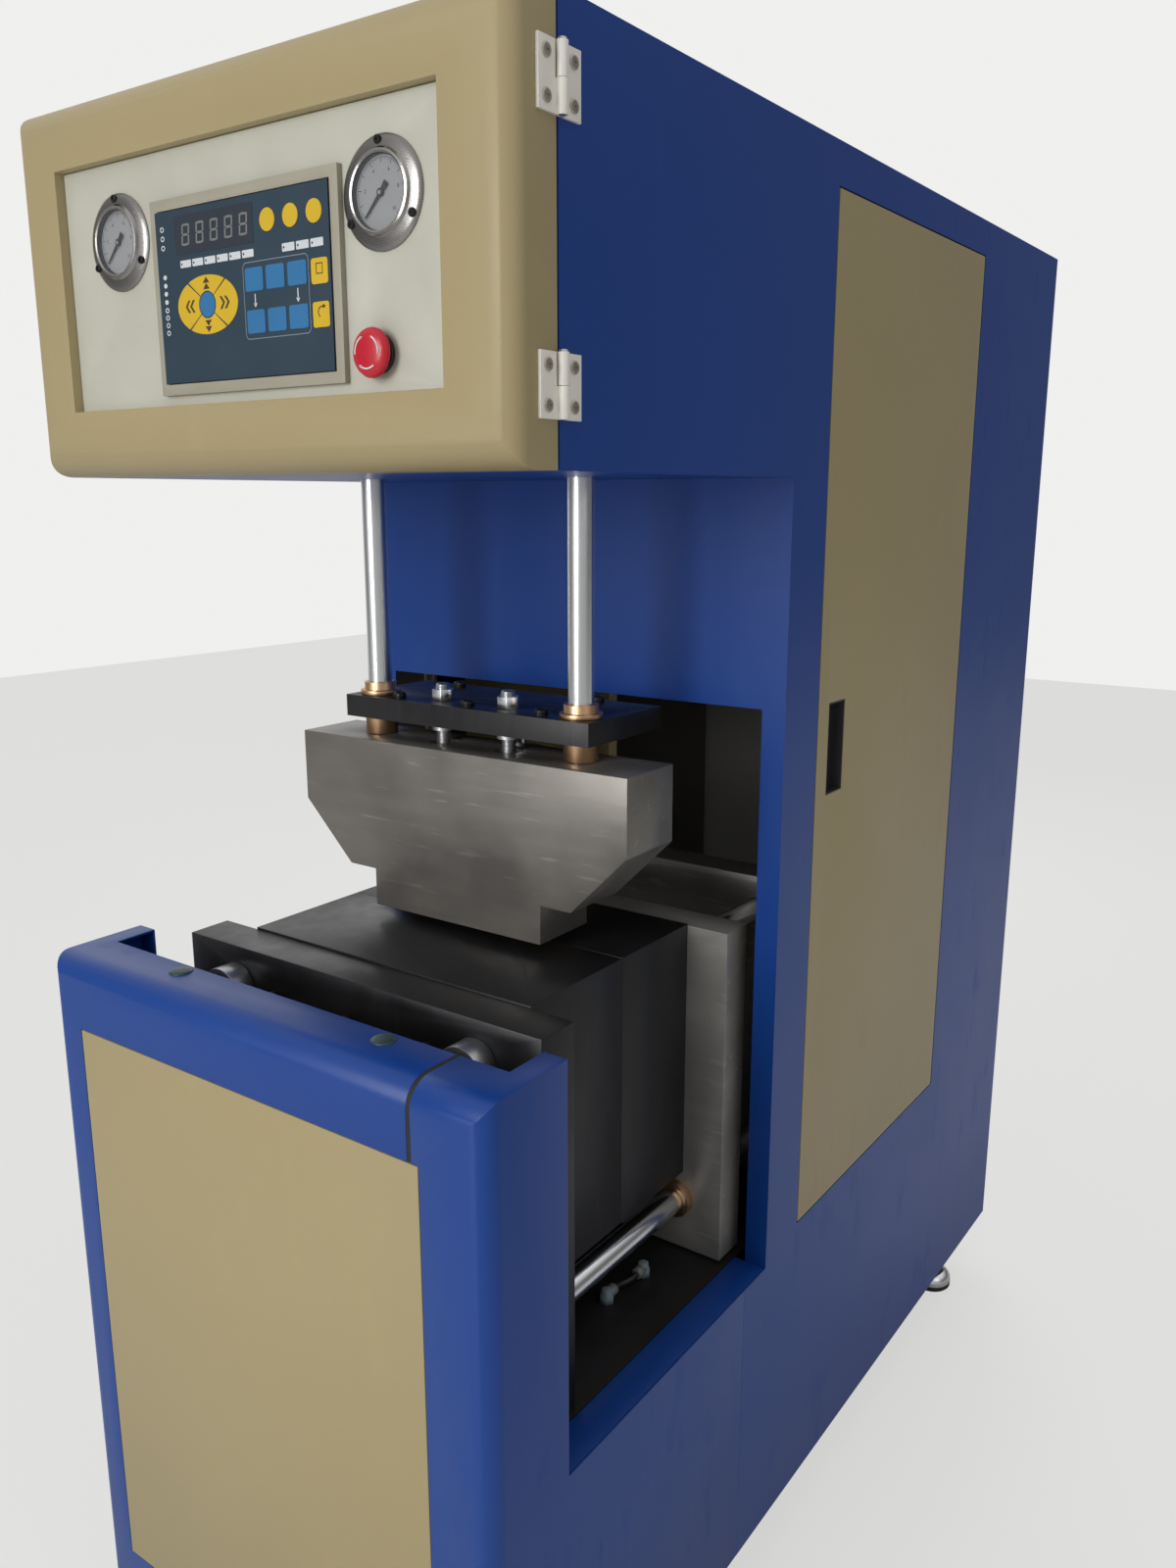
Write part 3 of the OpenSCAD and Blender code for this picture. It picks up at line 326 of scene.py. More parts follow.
# Finishes by how they are made. Each row is what its function takes after the name.
PAINTS = {
    "blue_paint": (BLUE, 0.36, 420.0, 0.00010, 0.08, True),
    "beige_paint": (BEIGE, 0.44, 520.0, 0.00014, 0.07),
}
PLATES = {
    "black_paint": (BLACK, 0.42, 0.35, (1.0, 1.0, 0.12)),
    "grey_paint": (BLOCK_GREY, 0.40, 0.55, (0.1, 1.0, 1.0)),
    "platen_grey": (PLATEN_GREY, 0.42, 0.4, (0.1, 1.0, 1.0)),
    "screw_black": (linear(30, 30, 31), 0.38, 0.6, (1.0, 1.0, 1.0)),
}
METALS = {
    "chrome": ((0.80, 0.81, 0.82, 1.0), 0.16, "Z", 0.0011, 0.12),
    "steel": ((0.56, 0.57, 0.58, 1.0), 0.34, "Z", 0.0009),
    "bronze": ((0.68, 0.43, 0.24, 1.0), 0.32, "Z", 0.0008, 0.35),
    "aluminium": ((0.66, 0.67, 0.68, 1.0), 0.36, "Y", 0.0009),
    "hinge_silver": ((0.88, 0.85, 0.77, 1.0), 0.48, "Z", 0.0015, 0.12, 0.1),
    "screw_zinc": ((0.60, 0.55, 0.46, 1.0), 0.36, "X", 0.0007, 0.5),
}
MOULDED = {
    "white_panel": (PANEL_WHITE, 0.42, 1200.0, 0.00002),
    "bezel_plastic": (BEZEL, 0.46),
    "keypad_film": (FILM_BLUE, 0.38, 1500.0, 0.00002),
    "black_plastic": (linear(30, 30, 32), 0.42),
    "dial_white": (linear(176, 176, 178), 0.5),
    "red_plastic": (STOP_RED, 0.26, 500.0, 0.00002),
    "rubber": (linear(38, 38, 38), 0.75, 700.0, 0.00012),
    # Dark rubber for the door's seal, and also the painted shadow in the rail's seam.
    "gasket": (linear(26, 26, 27), 0.7),
    "plug_green": (linear(38, 62, 66), 0.4),
    "key_yellow": (KEY_YELLOW, 0.36),
    "key_blue": (KEY_BLUE, 0.36),
    "key_ink": (linear(60, 42, 26), 0.5),
    "print_white": (linear(202, 205, 208), 0.5),
    "print_grey": (linear(120, 134, 142), 0.5),
    "print_black": (INK, 0.5),
    "window_smoke": (linear(50, 56, 66), 0.16, 1500.0, 0.00001),
    "digit_grey": (linear(118, 118, 116), 0.4),
}
FINISH = {"gauge_chrome": gauge_metal(), "glass": clear_glass()}
for make, table in ((powder_coat, PAINTS), (worked_steel, PLATES), (bare_metal, METALS),
                    (moulded, MOULDED)):
    for finish_name, values in table.items():
        FINISH[finish_name] = make(finish_name, *values)


# Geometry node trees

class Tree:
    """A geometry node tree with named inputs, made by one node method."""

    def __init__(self, name, **inputs):
        self.tree = bpy.data.node_groups.new(name, "GeometryNodeTree")
        self.tree.interface.new_socket("Geometry", in_out="INPUT", socket_type="NodeSocketGeometry")
        for label, kind in inputs.items():
            self.tree.interface.new_socket(label, in_out="INPUT", socket_type="NodeSocket" + kind)
        self.tree.interface.new_socket("Geometry", in_out="OUTPUT", socket_type="NodeSocketGeometry")
        self.inputs = self.node("NodeGroupInput").outputs

    def node(self, kind, settings=None, sockets=None):
        """A node of this kind, with its settings made first and then its sockets."""
        made = self.tree.nodes.new(kind)
        for name, value in (settings or {}).items():
            setattr(made, name, value)
        for name, value in (sockets or {}).items():
            if isinstance(value, bpy.types.NodeSocket):
                self.tree.links.new(value, made.inputs[name])
            else:
                made.inputs[name].default_value = value
        return made

    def finish(self, instances):
        """Ends the tree in real geometry with the asked material."""
        real = self.node("GeometryNodeRealizeInstances", {}, {"Geometry": instances})
        shown = self.node("GeometryNodeSetMaterial", {}, {
            "Geometry": real.outputs["Geometry"], "Material": self.inputs["Finish"]})
        self.node("NodeGroupOutput", {}, {"Geometry": shown.outputs["Geometry"]})
        return self.tree


def copies_tree():
    """One template at every point of the mesh, turned alike."""
    tree = Tree("copies_at_points", Template="Object", Turn="Rotation", Finish="Material")
    template = tree.node("GeometryNodeObjectInfo", {}, {"Object": tree.inputs["Template"]})
    placed = tree.node("GeometryNodeInstanceOnPoints", {}, {
        "Points": tree.inputs["Geometry"], "Instance": template.outputs["Geometry"],
        "Rotation": tree.inputs["Turn"]})
    return tree.finish(placed.outputs["Instances"])


def ticks_tree():
    """Scale ticks round the Y axis: bars on a radius, evenly over a sweep."""
    tree = Tree("dial_ticks", Count="Int", Radius="Float", Length="Float", Width="Float",
                Start="Float", Sweep="Float", Finish="Material")
    points = tree.node("GeometryNodePoints", {}, {"Count": tree.inputs["Count"]})
    index = tree.node("GeometryNodeInputIndex").outputs["Index"]
    last = tree.node("ShaderNodeMath", {"operation": "SUBTRACT"}, {0: tree.inputs["Count"], 1: 1.0})
    step = tree.node("ShaderNodeMath", {"operation": "DIVIDE"}, {
        0: tree.inputs["Sweep"], 1: last.outputs[0]})
    along = tree.node("ShaderNodeMath", {"operation": "MULTIPLY"}, {0: index, 1: step.outputs[0]})
    angle = tree.node("ShaderNodeMath", {"operation": "SUBTRACT"}, {
        0: tree.inputs["Start"], 1: along.outputs[0]}).outputs[0]
    turn = tree.node("ShaderNodeMath", {"operation": "MULTIPLY"}, {0: angle, 1: -1.0})
    euler = tree.node("ShaderNodeCombineXYZ", {}, {"Y": turn.outputs[0]})
    arm = tree.node("ShaderNodeCombineXYZ", {}, {"X": tree.inputs["Radius"]})
    spot = tree.node("ShaderNodeVectorRotate", {"rotation_type": "EULER_XYZ"}, {
        "Vector": arm.outputs[0], "Rotation": euler.outputs[0]})
    placed = tree.node("GeometryNodeSetPosition", {}, {
        "Geometry": points.outputs["Points"], "Position": spot.outputs[0]})
    size = tree.node("ShaderNodeCombineXYZ", {}, {
        "X": tree.inputs["Length"], "Y": 0.0002, "Z": tree.inputs["Width"]})
    bar = tree.node("GeometryNodeMeshCube", {}, {"Size": size.outputs[0]})
    ticks = tree.node("GeometryNodeInstanceOnPoints", {}, {
        "Points": placed.outputs["Geometry"], "Instance": bar.outputs["Mesh"],
        "Rotation": euler.outputs[0]})
    return tree.finish(ticks.outputs["Instances"])


def thread_tree():
    """Thread crests: rings along Z, a pitch apart, on a stem's radius."""
    tree = Tree("thread_crests", Count="Int", Pitch="Float", Radius="Float", Finish="Material")
    offset = tree.node("ShaderNodeCombineXYZ", {}, {"Z": tree.inputs["Pitch"]})
    line = tree.node("GeometryNodeMeshLine", {}, {
        "Count": tree.inputs["Count"], "Offset": offset.outputs[0]})
    circle = tree.node("GeometryNodeCurvePrimitiveCircle", {}, {
        "Resolution": 40, "Radius": tree.inputs["Radius"]})
    crest_r = tree.node("ShaderNodeMath", {"operation": "MULTIPLY"}, {0: tree.inputs["Pitch"], 1: 0.42})
    crest = tree.node("GeometryNodeCurvePrimitiveCircle", {}, {
        "Resolution": 6, "Radius": crest_r.outputs[0]})
    ring = tree.node("GeometryNodeCurveToMesh", {}, {
        "Curve": circle.outputs["Curve"], "Profile Curve": crest.outputs["Curve"]})
    rings = tree.node("GeometryNodeInstanceOnPoints", {}, {
        "Points": line.outputs["Mesh"], "Instance": ring.outputs["Mesh"]})
    return tree.finish(rings.outputs["Instances"])


def soften_tree():
    """Smooth shading except where two faces meet at more than the limit."""
    tree = Tree("smooth_by_angle", Limit="Float")
    angle = tree.node("GeometryNodeInputMeshEdgeAngle").outputs["Unsigned Angle"]
    gentle = tree.node("FunctionNodeCompare", {"data_type": "FLOAT", "operation": "LESS_EQUAL"}, {
        0: angle, 1: tree.inputs["Limit"]})
    faces = tree.node("GeometryNodeSetShadeSmooth", {"domain": "FACE"}, {
        "Geometry": tree.inputs["Geometry"], "Shade Smooth": True})
    edges = tree.node("GeometryNodeSetShadeSmooth", {"domain": "EDGE"}, {
        "Geometry": faces.outputs["Geometry"], "Shade Smooth": gentle.outputs[0]})
    tree.node("NodeGroupOutput", {}, {"Geometry": edges.outputs["Geometry"]})
    return tree.tree


COPIES = copies_tree()
TICKS = ticks_tree()
THREAD = thread_tree()
SOFTEN = soften_tree()


def add_tree(holder, tree, **values):
    """The tree as a modifier, its inputs set by their sockets' identifiers."""
    modifier = holder.modifiers.new(tree.name, "NODES")
    modifier.node_group = tree
    for item in tree.interface.items_tree:
        if item.in_out == "INPUT" and item.name in values:
            modifier[item.identifier] = values[item.name]
    return modifier


# Meshes

TURN_TO = {"front": (math.pi / 2, 0, 0), "back": (-math.pi / 2, 0, 0), "up": (0, 0, 0),
           "right": (0, math.pi / 2, 0)}


def placed_facing(facing, centre):
    """The move that turns +Z to face a side, and then shifts to a place in millimetres."""
    return Matrix.Translation(Vector(centre) * MM) @ Euler(TURN_TO[facing]).to_matrix().to_4x4()


def new_object(name, mesh, finish=None):
    """An object of this mesh at the origin, in one finish if it is given."""
    made = bpy.data.objects.new(name, mesh)
    bpy.context.scene.collection.objects.link(made)
    if finish:
        mesh.materials.clear()
        mesh.materials.append(FINISH[finish])
    return made


def settle(made, body):
    """Makes a finished piece ride on its body."""
    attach(made, body)
    return made


def plain_mesh(name, holder):
    """What a holder's modifiers or curve make, as a mesh. The holder goes."""
    graph = bpy.context.evaluated_depsgraph_get()
    mesh = bpy.data.meshes.new_from_object(holder.evaluated_get(graph))
    mesh.name = name
    bpy.data.objects.remove(holder)
    return mesh


def grown(name, holder, tree, body, finish, slot, shift=(0.0, 0.0, 0.0), **values):
    """Applies a tree to a holder and keeps the result as a plain mesh riding on a body."""
    add_tree(holder, tree, Finish=FINISH[finish], **values)
    mesh = plain_mesh(name, holder)
    mesh.transform(Matrix.Translation(Vector(shift) * MM))
    return settle(new_object(name, mesh), body)


def from_bmesh(name, shape, smooth=True):
    """The mesh of a bmesh, its faces turned outwards."""
    mesh = bpy.data.meshes.new(name)
    bmesh.ops.recalc_face_normals(shape, faces=shape.faces)
    for face in shape.faces:
        face.smooth = smooth
    shape.to_mesh(mesh)
    shape.free()
    return mesh


def skinned(shape, rings):
    """Adds a closed skin over rings of places in millimetres, one after the other, to a bmesh."""
    rings = [[shape.verts.new(Vector(place) * MM) for place in ring] for ring in rings]
    for first, second in zip(rings, rings[1:]):
        for i in range(len(first)):
            j = (i + 1) % len(first)
            shape.faces.new((first[i], first[j], second[j], second[i]))
    shape.faces.new(list(reversed(rings[0])))
    shape.faces.new(rings[-1])
    return shape


def slabs(name, outlines, y_back, proud, finish, body, origin=(0.0, 0.0)):
    """One piece of flat slabs that stand proud of a plane facing the front."""
    shape = bmesh.new()
    for outline in outlines:
        skinned(shape, [[(origin[0] + x, y, origin[1] + z) for x, z in outline]
                        for y in (y_back, y_back - proud)])
    return settle(new_object(name, from_bmesh(name, shape, False), finish), body)


def turned(name, profile, centre, steps, finish, body, facing="up"):
    """A turned piece: profile points are (radius, distance along the axis), which faces a side."""
    shape = bmesh.new()
    loop = [shape.verts.new(Vector((r, 0.0, z)) * MM) for r, z in profile]
    edges = [shape.edges.new((loop[i], loop[i + 1])) for i in range(len(loop) - 1)]
    bmesh.ops.spin(shape, geom=loop + edges, axis=(0, 0, 1), cent=(0, 0, 0),
                   angle=math.tau, steps=steps, use_merge=True)
    bmesh.ops.remove_doubles(shape, verts=shape.verts, dist=1e-6)
    shape.transform(placed_facing(facing, centre))
    return settle(new_object(name, from_bmesh(name, shape), finish), body)


def box_outline(x, z, width, height, radius=0.0, steps=5):
    """A rectangle about its middle, with round corners if a radius is given."""
    if radius <= 0:
        return [(x - width / 2, z - height / 2), (x + width / 2, z - height / 2),
                (x + width / 2, z + height / 2), (x - width / 2, z + height / 2)]
    points = []
    for quarter in range(4):
        sx = 1 if quarter in (0, 3) else -1
        sz = 1 if quarter in (0, 1) else -1
        cx = x + sx * (width / 2 - radius)
        cz = z + sz * (height / 2 - radius)
        for i in range(steps + 1):
            angle = math.pi / 2 * (quarter + i / steps)
            points.append((cx + radius * math.cos(angle), cz + radius * math.sin(angle)))
    return points


def oval(x, z, rx, rz=None, steps=40):
    """A circle, or an oval if both radii are given."""
    rz = rx if rz is None else rz
    return [(x + rx * math.cos(math.tau * i / steps), z + rz * math.sin(math.tau * i / steps))
            for i in range(steps)]


def arc_band(x, z, inner, outer, start, end, steps=14):
    """Part of a flat ring between two angles in degrees."""
    angles = [math.radians(start + (end - start) * i / steps) for i in range(steps + 1)]
    return ([(x + outer * math.cos(a), z + outer * math.sin(a)) for a in angles]
            + [(x + inner * math.cos(a), z + inner * math.sin(a)) for a in reversed(angles)])


def frame_strips(outline_out, outline_in):
    """A closed ring between two outlines of equal length, as four-sided slabs."""
    count = len(outline_out)
    return [[outline_out[i], outline_out[(i + 1) % count], outline_in[(i + 1) % count], outline_in[i]]
            for i in range(count)]


# CAD nodes: finishes and softened edges

# How wide the broken edge of each node is, in millimetres.
EDGE = {
    "base_shell": 0.5, "base_panel": 0.5, "head_door": 0.6, "side_door_left": 0.7,
    "side_door_right": 0.7, "sill_left": 0.8, "sill_right": 0.8, "top_cover": 0.4,
    "crosshead": 1.6, "seal_plate": 1.0, "front_platen": 1.5, "moving_platen": 1.5,
    "rear_platen": 1.5, "mould_front": 1.0, "mould_rear": 1.0, "clamp_cylinder": 2.0,
    "lift_cylinder": 1.0, "controller_bezel": 0.9, "instrument_panel": 0.3, "head_beam": 1.0,
    "hinge_leaves_head": 0.5, "hinge_leaves_door": 0.5, "door_pull_left": 0.6,
    "door_pull_right": 0.6, "nozzle_nuts": 0.7, "guide_rod_nuts": 1.0, "tie_bar_nuts": 1.5,
    "seal_bushes": 0.8, "platen_bushes": 0.8, "controller_box": 1.0, "rear_fittings": 0.8,
    "foot_studs": 0.6, "tie_bars": 1.2, "estop_collar": 0.6,
}

# Nodes whose finish isn't the one named for their material slot.
OWN_FINISH = {
    "gauge_case_left": "gauge_chrome", "gauge_case_right": "gauge_chrome",
    "moving_platen": "platen_grey", "rear_platen": "platen_grey",
}


def dress(node, slot):
    """The node's finish, its facets smoothed and its sharp edges broken by live modifiers."""
    piece = frame["nodes"][node]
    piece.data.materials.clear()
    piece.data.materials.append(FINISH[OWN_FINISH.get(node, slot)])
    weld = piece.modifiers.new("weld", "WELD")
    weld.merge_threshold = 0.00001
    flat = piece.modifiers.new("join_flats", "DECIMATE")
    flat.decimate_type = "DISSOLVE"
    flat.angle_limit = math.radians(0.4)
    if node in EDGE:
        edge = piece.modifiers.new("broken_edges", "BEVEL")
        edge.width = EDGE[node] * MM
        edge.segments = 2
        edge.limit_method = "ANGLE"
        edge.angle_limit = math.radians(38)
        edge.harden_normals = False
    add_tree(piece, SOFTEN, Limit=math.radians(32))


for part in frame["record"]["subparts"]:
    dress(part["node"], part["material_slot"])


# Screws and threads

def screw_template(name, radius, height, recess, sides):
    """A domed or straight screw head along +Z with a driver recess of some sides."""
    steps = 20
    recess_floor = height * 0.45
    dome = [(radius, 0.0), (radius, height * 0.55), (radius * 0.93, height * 0.82),
            (radius * 0.78, height)]
    angles = [math.tau * i / steps for i in range(steps)]
    rings = [[(r * math.cos(a), r * math.sin(a), z) for a in angles] for r, z in dome]
    for z in (height, recess_floor):
        rings.append([(recess_radius(a, recess, sides) * math.cos(a),
                       recess_radius(a, recess, sides) * math.sin(a), z) for a in angles])
    return bpy.data.objects.new(name, from_bmesh(name, skinned(bmesh.new(), rings), False))


def recess_radius(angle, recess, sides):
    """Outline of a hexagon socket, or of a cross slot where sides is 4."""
    if sides == 6:
        sector = math.pi / 3
        local = (angle + sector / 2) % sector - sector / 2
        return recess * math.cos(sector / 2) / math.cos(local)
    sector = math.pi / 2
    off_arm = min(angle % sector, sector - angle % sector)
    return recess if off_arm < 0.2 else recess * 0.35


PAN_HEAD = screw_template("pan_head", 3.8, 2.2, 2.2, 4)
HINGE_HEAD = screw_template("hinge_head", 5.6, 1.6, 3.0, 4)
SOCKET_HEAD = screw_template("socket_head", 8.0, 7.5, 4.4, 6)


def copies(name, template, spots, facing, finish, body, slot):
    """Copies of a template at spots in millimetres, facing one way, as one piece."""
    mesh = bpy.data.meshes.new(name + "_spots")
    mesh.from_pydata([Vector(spot) * MM for spot in spots], [], [])
    holder = new_object(name + "_holder", mesh)
    return grown(name, holder, COPIES, body, finish, slot, Template=template, Turn=TURN_TO[facing])


def thread(name, centre, low, high, radius, finish, body, slot, pitch=1.5):
    """Thread crests along Z between two heights."""
    holder = new_object(name + "_holder", bpy.data.meshes.new(name + "_holder"))
    count = int((high - low) / pitch)
    return grown(name, holder, THREAD, body, finish, slot, (centre[0], centre[1], low + pitch / 2),
                 Count=count, Pitch=pitch * MM, Radius=(radius - pitch * 0.25) * MM)


def hinge_screws():
    """Four screws to a hinge: two in the door's leaf and two in the head's leaf."""
    leaf_t = 3.0
    leaf_h = 53.0
    inset = 10.0
    leaf_face = node_box("side_shell_right")[1].x + leaf_t
    for node, body in (("hinge_leaves_door", "head_door"), ("hinge_leaves_head", "root")):
        low, high = node_box(node)
        y = low.y + inset if body == "head_door" else high.y - inset
        spots = [(leaf_face, y, base + share * leaf_h)
                 for base in (low.z, high.z - leaf_h) for share in (0.2, 0.8)]
        copies(node + "_screws", HINGE_HEAD, spots, "right", "screw_zinc", body, "steel")


hinge_screws()


def clamp_screws():
    """Five socket screws in the seal plate, and nine in the front platen that hold the mould."""
    low, high = node_box("seal_plate")
    out_x = 110.0
    front_y = low.y + 16
    rear_y = high.y - 20
    spots = [(-out_x, front_y, high.z), (-out_x, rear_y, high.z), (0.0, front_y, high.z),
             (out_x, front_y, high.z), (out_x, rear_y, high.z)]
    copies("seal_plate_screws", SOCKET_HEAD, spots, "up", "screw_black", "seal_unit", "steel")
    face = node_box("front_platen")[0].y
    column_pitch = 120.0
    screw_rows = (640.0, 760.0, 890.0)
    spots = [(column * column_pitch, face, z) for column in (-1, 0, 1) for z in screw_rows]
    copies("front_platen_screws", SOCKET_HEAD, spots, "front", "screw_black", "root", "steel")


clamp_screws()


def panel_screws():
    """Three screws in each gauge's flange, and seven down each side of the rear panel."""
    flange_t = 3.6
    ring_r = 40.0
    first_turn = -1
    flange_face = node_box("instrument_panel")[0].y - flange_t
    spots = []
    for node in ("gauge_case_left", "gauge_case_right"):
        x, z = node_middle(node)
        for turn in range(first_turn, 360 + first_turn, 120):
            angle = math.radians(turn)
            spots.append((x + ring_r * math.sin(angle), flange_face, z + ring_r * math.cos(angle)))
    copies("gauge_screws", PAN_HEAD, spots, "front", "screw_black", "head_door", "steel")
    low, high = node_box("rear_panel")
    side_gap = 14.0
    end_gap = 30.0
    pitch = (high.z - low.z - 2 * end_gap) / 6
    spots = [(x, high.y, low.z + end_gap + i * pitch)
             for x in (low.x + side_gap, high.x - side_gap) for i in range(7)]
    copies("rear_panel_screws", PAN_HEAD, spots, "back", "steel", "root", "steel")


panel_screws()


def stem_threads():
    """Threads on the nozzle stems, above and below the seal plate, and on the feet's studs."""
    stem_x = 51.0
    stem_y = -369.0
    foot_x = 280.0
    foot_rows = (-680.0, 600.0)
    thread_r = 8.3
    stud_thread_top = 80.0
    plate_low, plate_high = node_box("seal_plate")
    over_nut = plate_high.z + 15
    under_nut = plate_low.z - 8
    stem_top = node_box("blow_nozzles")[1].z - 2
    in_block = node_box("crosshead")[1].z - 30
    for side, x in (("left", -stem_x), ("right", stem_x)):
        thread(f"stem_thread_top_{side}", (x, stem_y), over_nut, stem_top, thread_r, "steel",
               "seal_unit", "steel")
        thread(f"stem_thread_low_{side}", (x, stem_y), in_block, under_nut, thread_r, "steel",
               "seal_unit", "steel")
    cup_top = node_box("foot_cups")[1].z
    for i, (x, y) in enumerate([(x, y) for x in (-foot_x, foot_x) for y in foot_rows]):
        thread(f"foot_thread_{i}", (x, y), cup_top, stud_thread_top, thread_r, "steel", "root",
               "steel", 2.0)


stem_threads()


# Control panel

RING = (69.5, 67.5)
HUB_R = 11.0
BLUE_COLUMNS = (136.0, 164.0, 192.2)
BLUE_ROWS = (83.5, 47.5)
SQUARE_X = 220.5
TAB_ROW = 105.7
LAMP_COLUMN = 9.6
DISPLAY = (83.0, 131.0)


def on_keypad(name, outlines, proud, finish, lift=0.0):
    """One piece of print. Its outlines are measured from the keypad's lower left corner."""
    low = node_box("keypad")[0]
    slabs(name, outlines, low.y - lift, proud, finish, "head_door", (low.x, low.z))


def ring_quarter(start, end, inner_start, inner_end):
    """One key of the ring: an arc of its oval outline outside, and of a circle round the hub inside."""
    reach_x, reach_z = 43.0, 26.0
    inner_r = HUB_R + 1.2
    outer_steps, inner_steps = 16, 10
    outer = [math.radians(start + (end - start) * i / outer_steps) for i in range(outer_steps + 1)]
    inner = [math.radians(inner_end + (inner_start - inner_end) * i / inner_steps)
             for i in range(inner_steps + 1)]
    return ([(RING[0] + reach_x * math.cos(a), RING[1] + reach_z * math.sin(a)) for a in outer]
            + [(RING[0] + inner_r * math.cos(a), RING[1] + inner_r * math.sin(a)) for a in inner])


def print_keys():
    """The yellow keys, the blue keys, and the arrows and signs on them."""
    key_proud = 0.45
    arrow_proud = 0.6
    quarter_turns = ((53.5, 126.5, 42, 138), (129.5, 230.5, 142, 218),
                     (233.5, 306.5, 222, 318), (309.5, 410.5, 322, 398))
    quarters = [ring_quarter(*turns) for turns in quarter_turns]
    round_columns = (157.0, 186.8, 216.5)
    square_rows = (82.5, 47.0)
    round_keys = [oval(u, DISPLAY[1], 9.7) for u in round_columns]
    square_keys = [box_outline(SQUARE_X, v, 20.5, 21.0, 2.5) for v in square_rows]
    on_keypad("keys_yellow", quarters + round_keys + square_keys, key_proud, "key_yellow")
    blue_keys = [box_outline(u, v, 24.0, 20.0, 2.5) for u in BLUE_COLUMNS for v in BLUE_ROWS]
    on_keypad("keys_blue", blue_keys + [oval(*RING, HUB_R)], key_proud, "key_blue")
    up_reaches = (13.6, 19.1)
    side_reaches = (18.5, 25.0)
    arrows = [arrow_head(RING, turn, reach) for turn in (0, 90, 180, 270)
              for reach in (side_reaches if turn in (0, 180) else up_reaches)]
    on_keypad("key_arrows", arrows + key_signs(), arrow_proud, "key_ink")


def print_tabs():
    """White tabs, lamp rings and pointers, the tabs' dark lamps, and the line round the blue keys."""
    left_tabs = [41.5 + 17.55 * i for i in range(6)]
    right_tabs = [182.6 + 18.0 * i for i in range(3)]
    tabs = [box_outline(u, TAB_ROW, 15.4, 6.4, 0.8) for u in left_tabs]
    tabs += [box_outline(u, TAB_ROW, 15.8, 6.8, 0.8) for u in right_tabs]
    dot_rows = (96.4, 88.9, 81.7, 74.3)
    ring_rows = (138.7, 130.6, 122.4, 66.8, 60.2, 53.3, 46.3)
    marks = [oval(LAMP_COLUMN, v, 2.6, 2.2, 12) for v in dot_rows]
    for v in ring_rows:
        marks += frame_strips(oval(LAMP_COLUMN, v, 2.8, 2.4, 14), oval(LAMP_COLUMN, v, 1.8, 1.4, 14))
    for u in (BLUE_COLUMNS[0], BLUE_COLUMNS[-1]):
        marks.append(box_outline(u, 66.5, 1.2, 9.0))
        marks.append([(u - 2.4, 63.0), (u, 59.5), (u + 2.4, 63.0)])
    on_keypad("key_tabs", tabs + marks, 0.25, "print_white")
    lamp_columns = [tab - 5.5 for tab in left_tabs] + [tab - 5.6 for tab in right_tabs]
    lamps = [oval(u, TAB_ROW, 1.0, 1.0, 10) for u in lamp_columns]
    on_keypad("tab_lamps", lamps, 0.4, "print_black")
    middle = sum(BLUE_ROWS) / 2
    lines = frame_strips(box_outline(BLUE_COLUMNS[1], middle, 86.0, 66.0, 5.0),
                         box_outline(BLUE_COLUMNS[1], middle, 84.6, 64.6, 4.3))
    on_keypad("key_lines", lines, 0.2, "print_grey")


def print_display():
    """The smoked window with its five unlit digits."""
    window_proud = 0.3
    digit_columns = (44.0, 64.5, 84.7, 105.0, 125.2)
    on_keypad("display_window", [box_outline(*DISPLAY, 110.0, 34.0, 1.0)], window_proud, "window_smoke")
    segments = []
    for u in digit_columns:
        segments += figure_eight(u, DISPLAY[1], 11.0, 19.0, 1.9)
    on_keypad("display_digits", segments, 0.12, "digit_grey", window_proud)


def arrow_head(centre, turn, reach):
    """One arrow head that points outwards from a centre: solid up and down, open to the sides."""
    points = [(0.0, 4.6), (5.2, 0.0), (0.0, -4.6)]
    if turn in (0, 180):
        points = [(-0.6, 5.6), (2.2, 5.6), (6.6, 0.0), (2.2, -5.6), (-0.6, -5.6), (3.8, 0.0)]
    angle = math.radians(turn)
    return [(centre[0] + (reach + x) * math.cos(angle) - y * math.sin(angle),
             centre[1] + (reach + x) * math.sin(angle) + y * math.cos(angle)) for x, y in points]


def key_signs():
    """Plain signs on the two square keys: an open box and a return hook."""
    box_z = 84.5
    hook = (221.5, 49.0)
    signs = frame_strips(box_outline(SQUARE_X, box_z, 8.4, 9.0), box_outline(SQUARE_X, box_z, 6.8, 7.4))
    signs.append(arc_band(*hook, 4.0, 5.0, 60, 240))
    signs.append([(223.0, 55.6), (226.6, 53.6), (223.0, 51.4)])
    return signs


def figure_eight(u, v, width, height, bar):
    """The seven segments of one unlit digit, leaning a little."""
    half_w, half_h = width / 2, height / 2
    gap = 0.25
    flat = [(u, v + half_h - bar / 2), (u, v), (u, v - half_h + bar / 2)]
    outlines = [box_outline(x, z, width - 2 * bar - gap, bar) for x, z in flat]
    for side in (-1, 1):
        for level in (-1, 1):
            outlines.append(box_outline(u + side * (half_w - bar / 2), v + level * half_h / 2,
                                        bar, half_h - bar / 2 - gap))
    lean = 0.08
    return [[(x + lean * (z - v), z) for x, z in outline] for outline in outlines]


print_keys()
print_tabs()
print_display()


def text_mesh(words, height, centre, y, finish, name, body):
    """Plain numbers as a thin mesh that faces the front."""
    curve = bpy.data.curves.new(name, "FONT")
    curve.body = words
    curve.size = height * MM
    curve.align_x = "CENTER"
    curve.align_y = "CENTER"
    curve.extrude = 0.00008
    mesh = plain_mesh(name, new_object(name + "_text", curve))
    mesh.transform(placed_facing("front", (centre[0], y, centre[1])))
    return settle(new_object(name, mesh, finish), body)


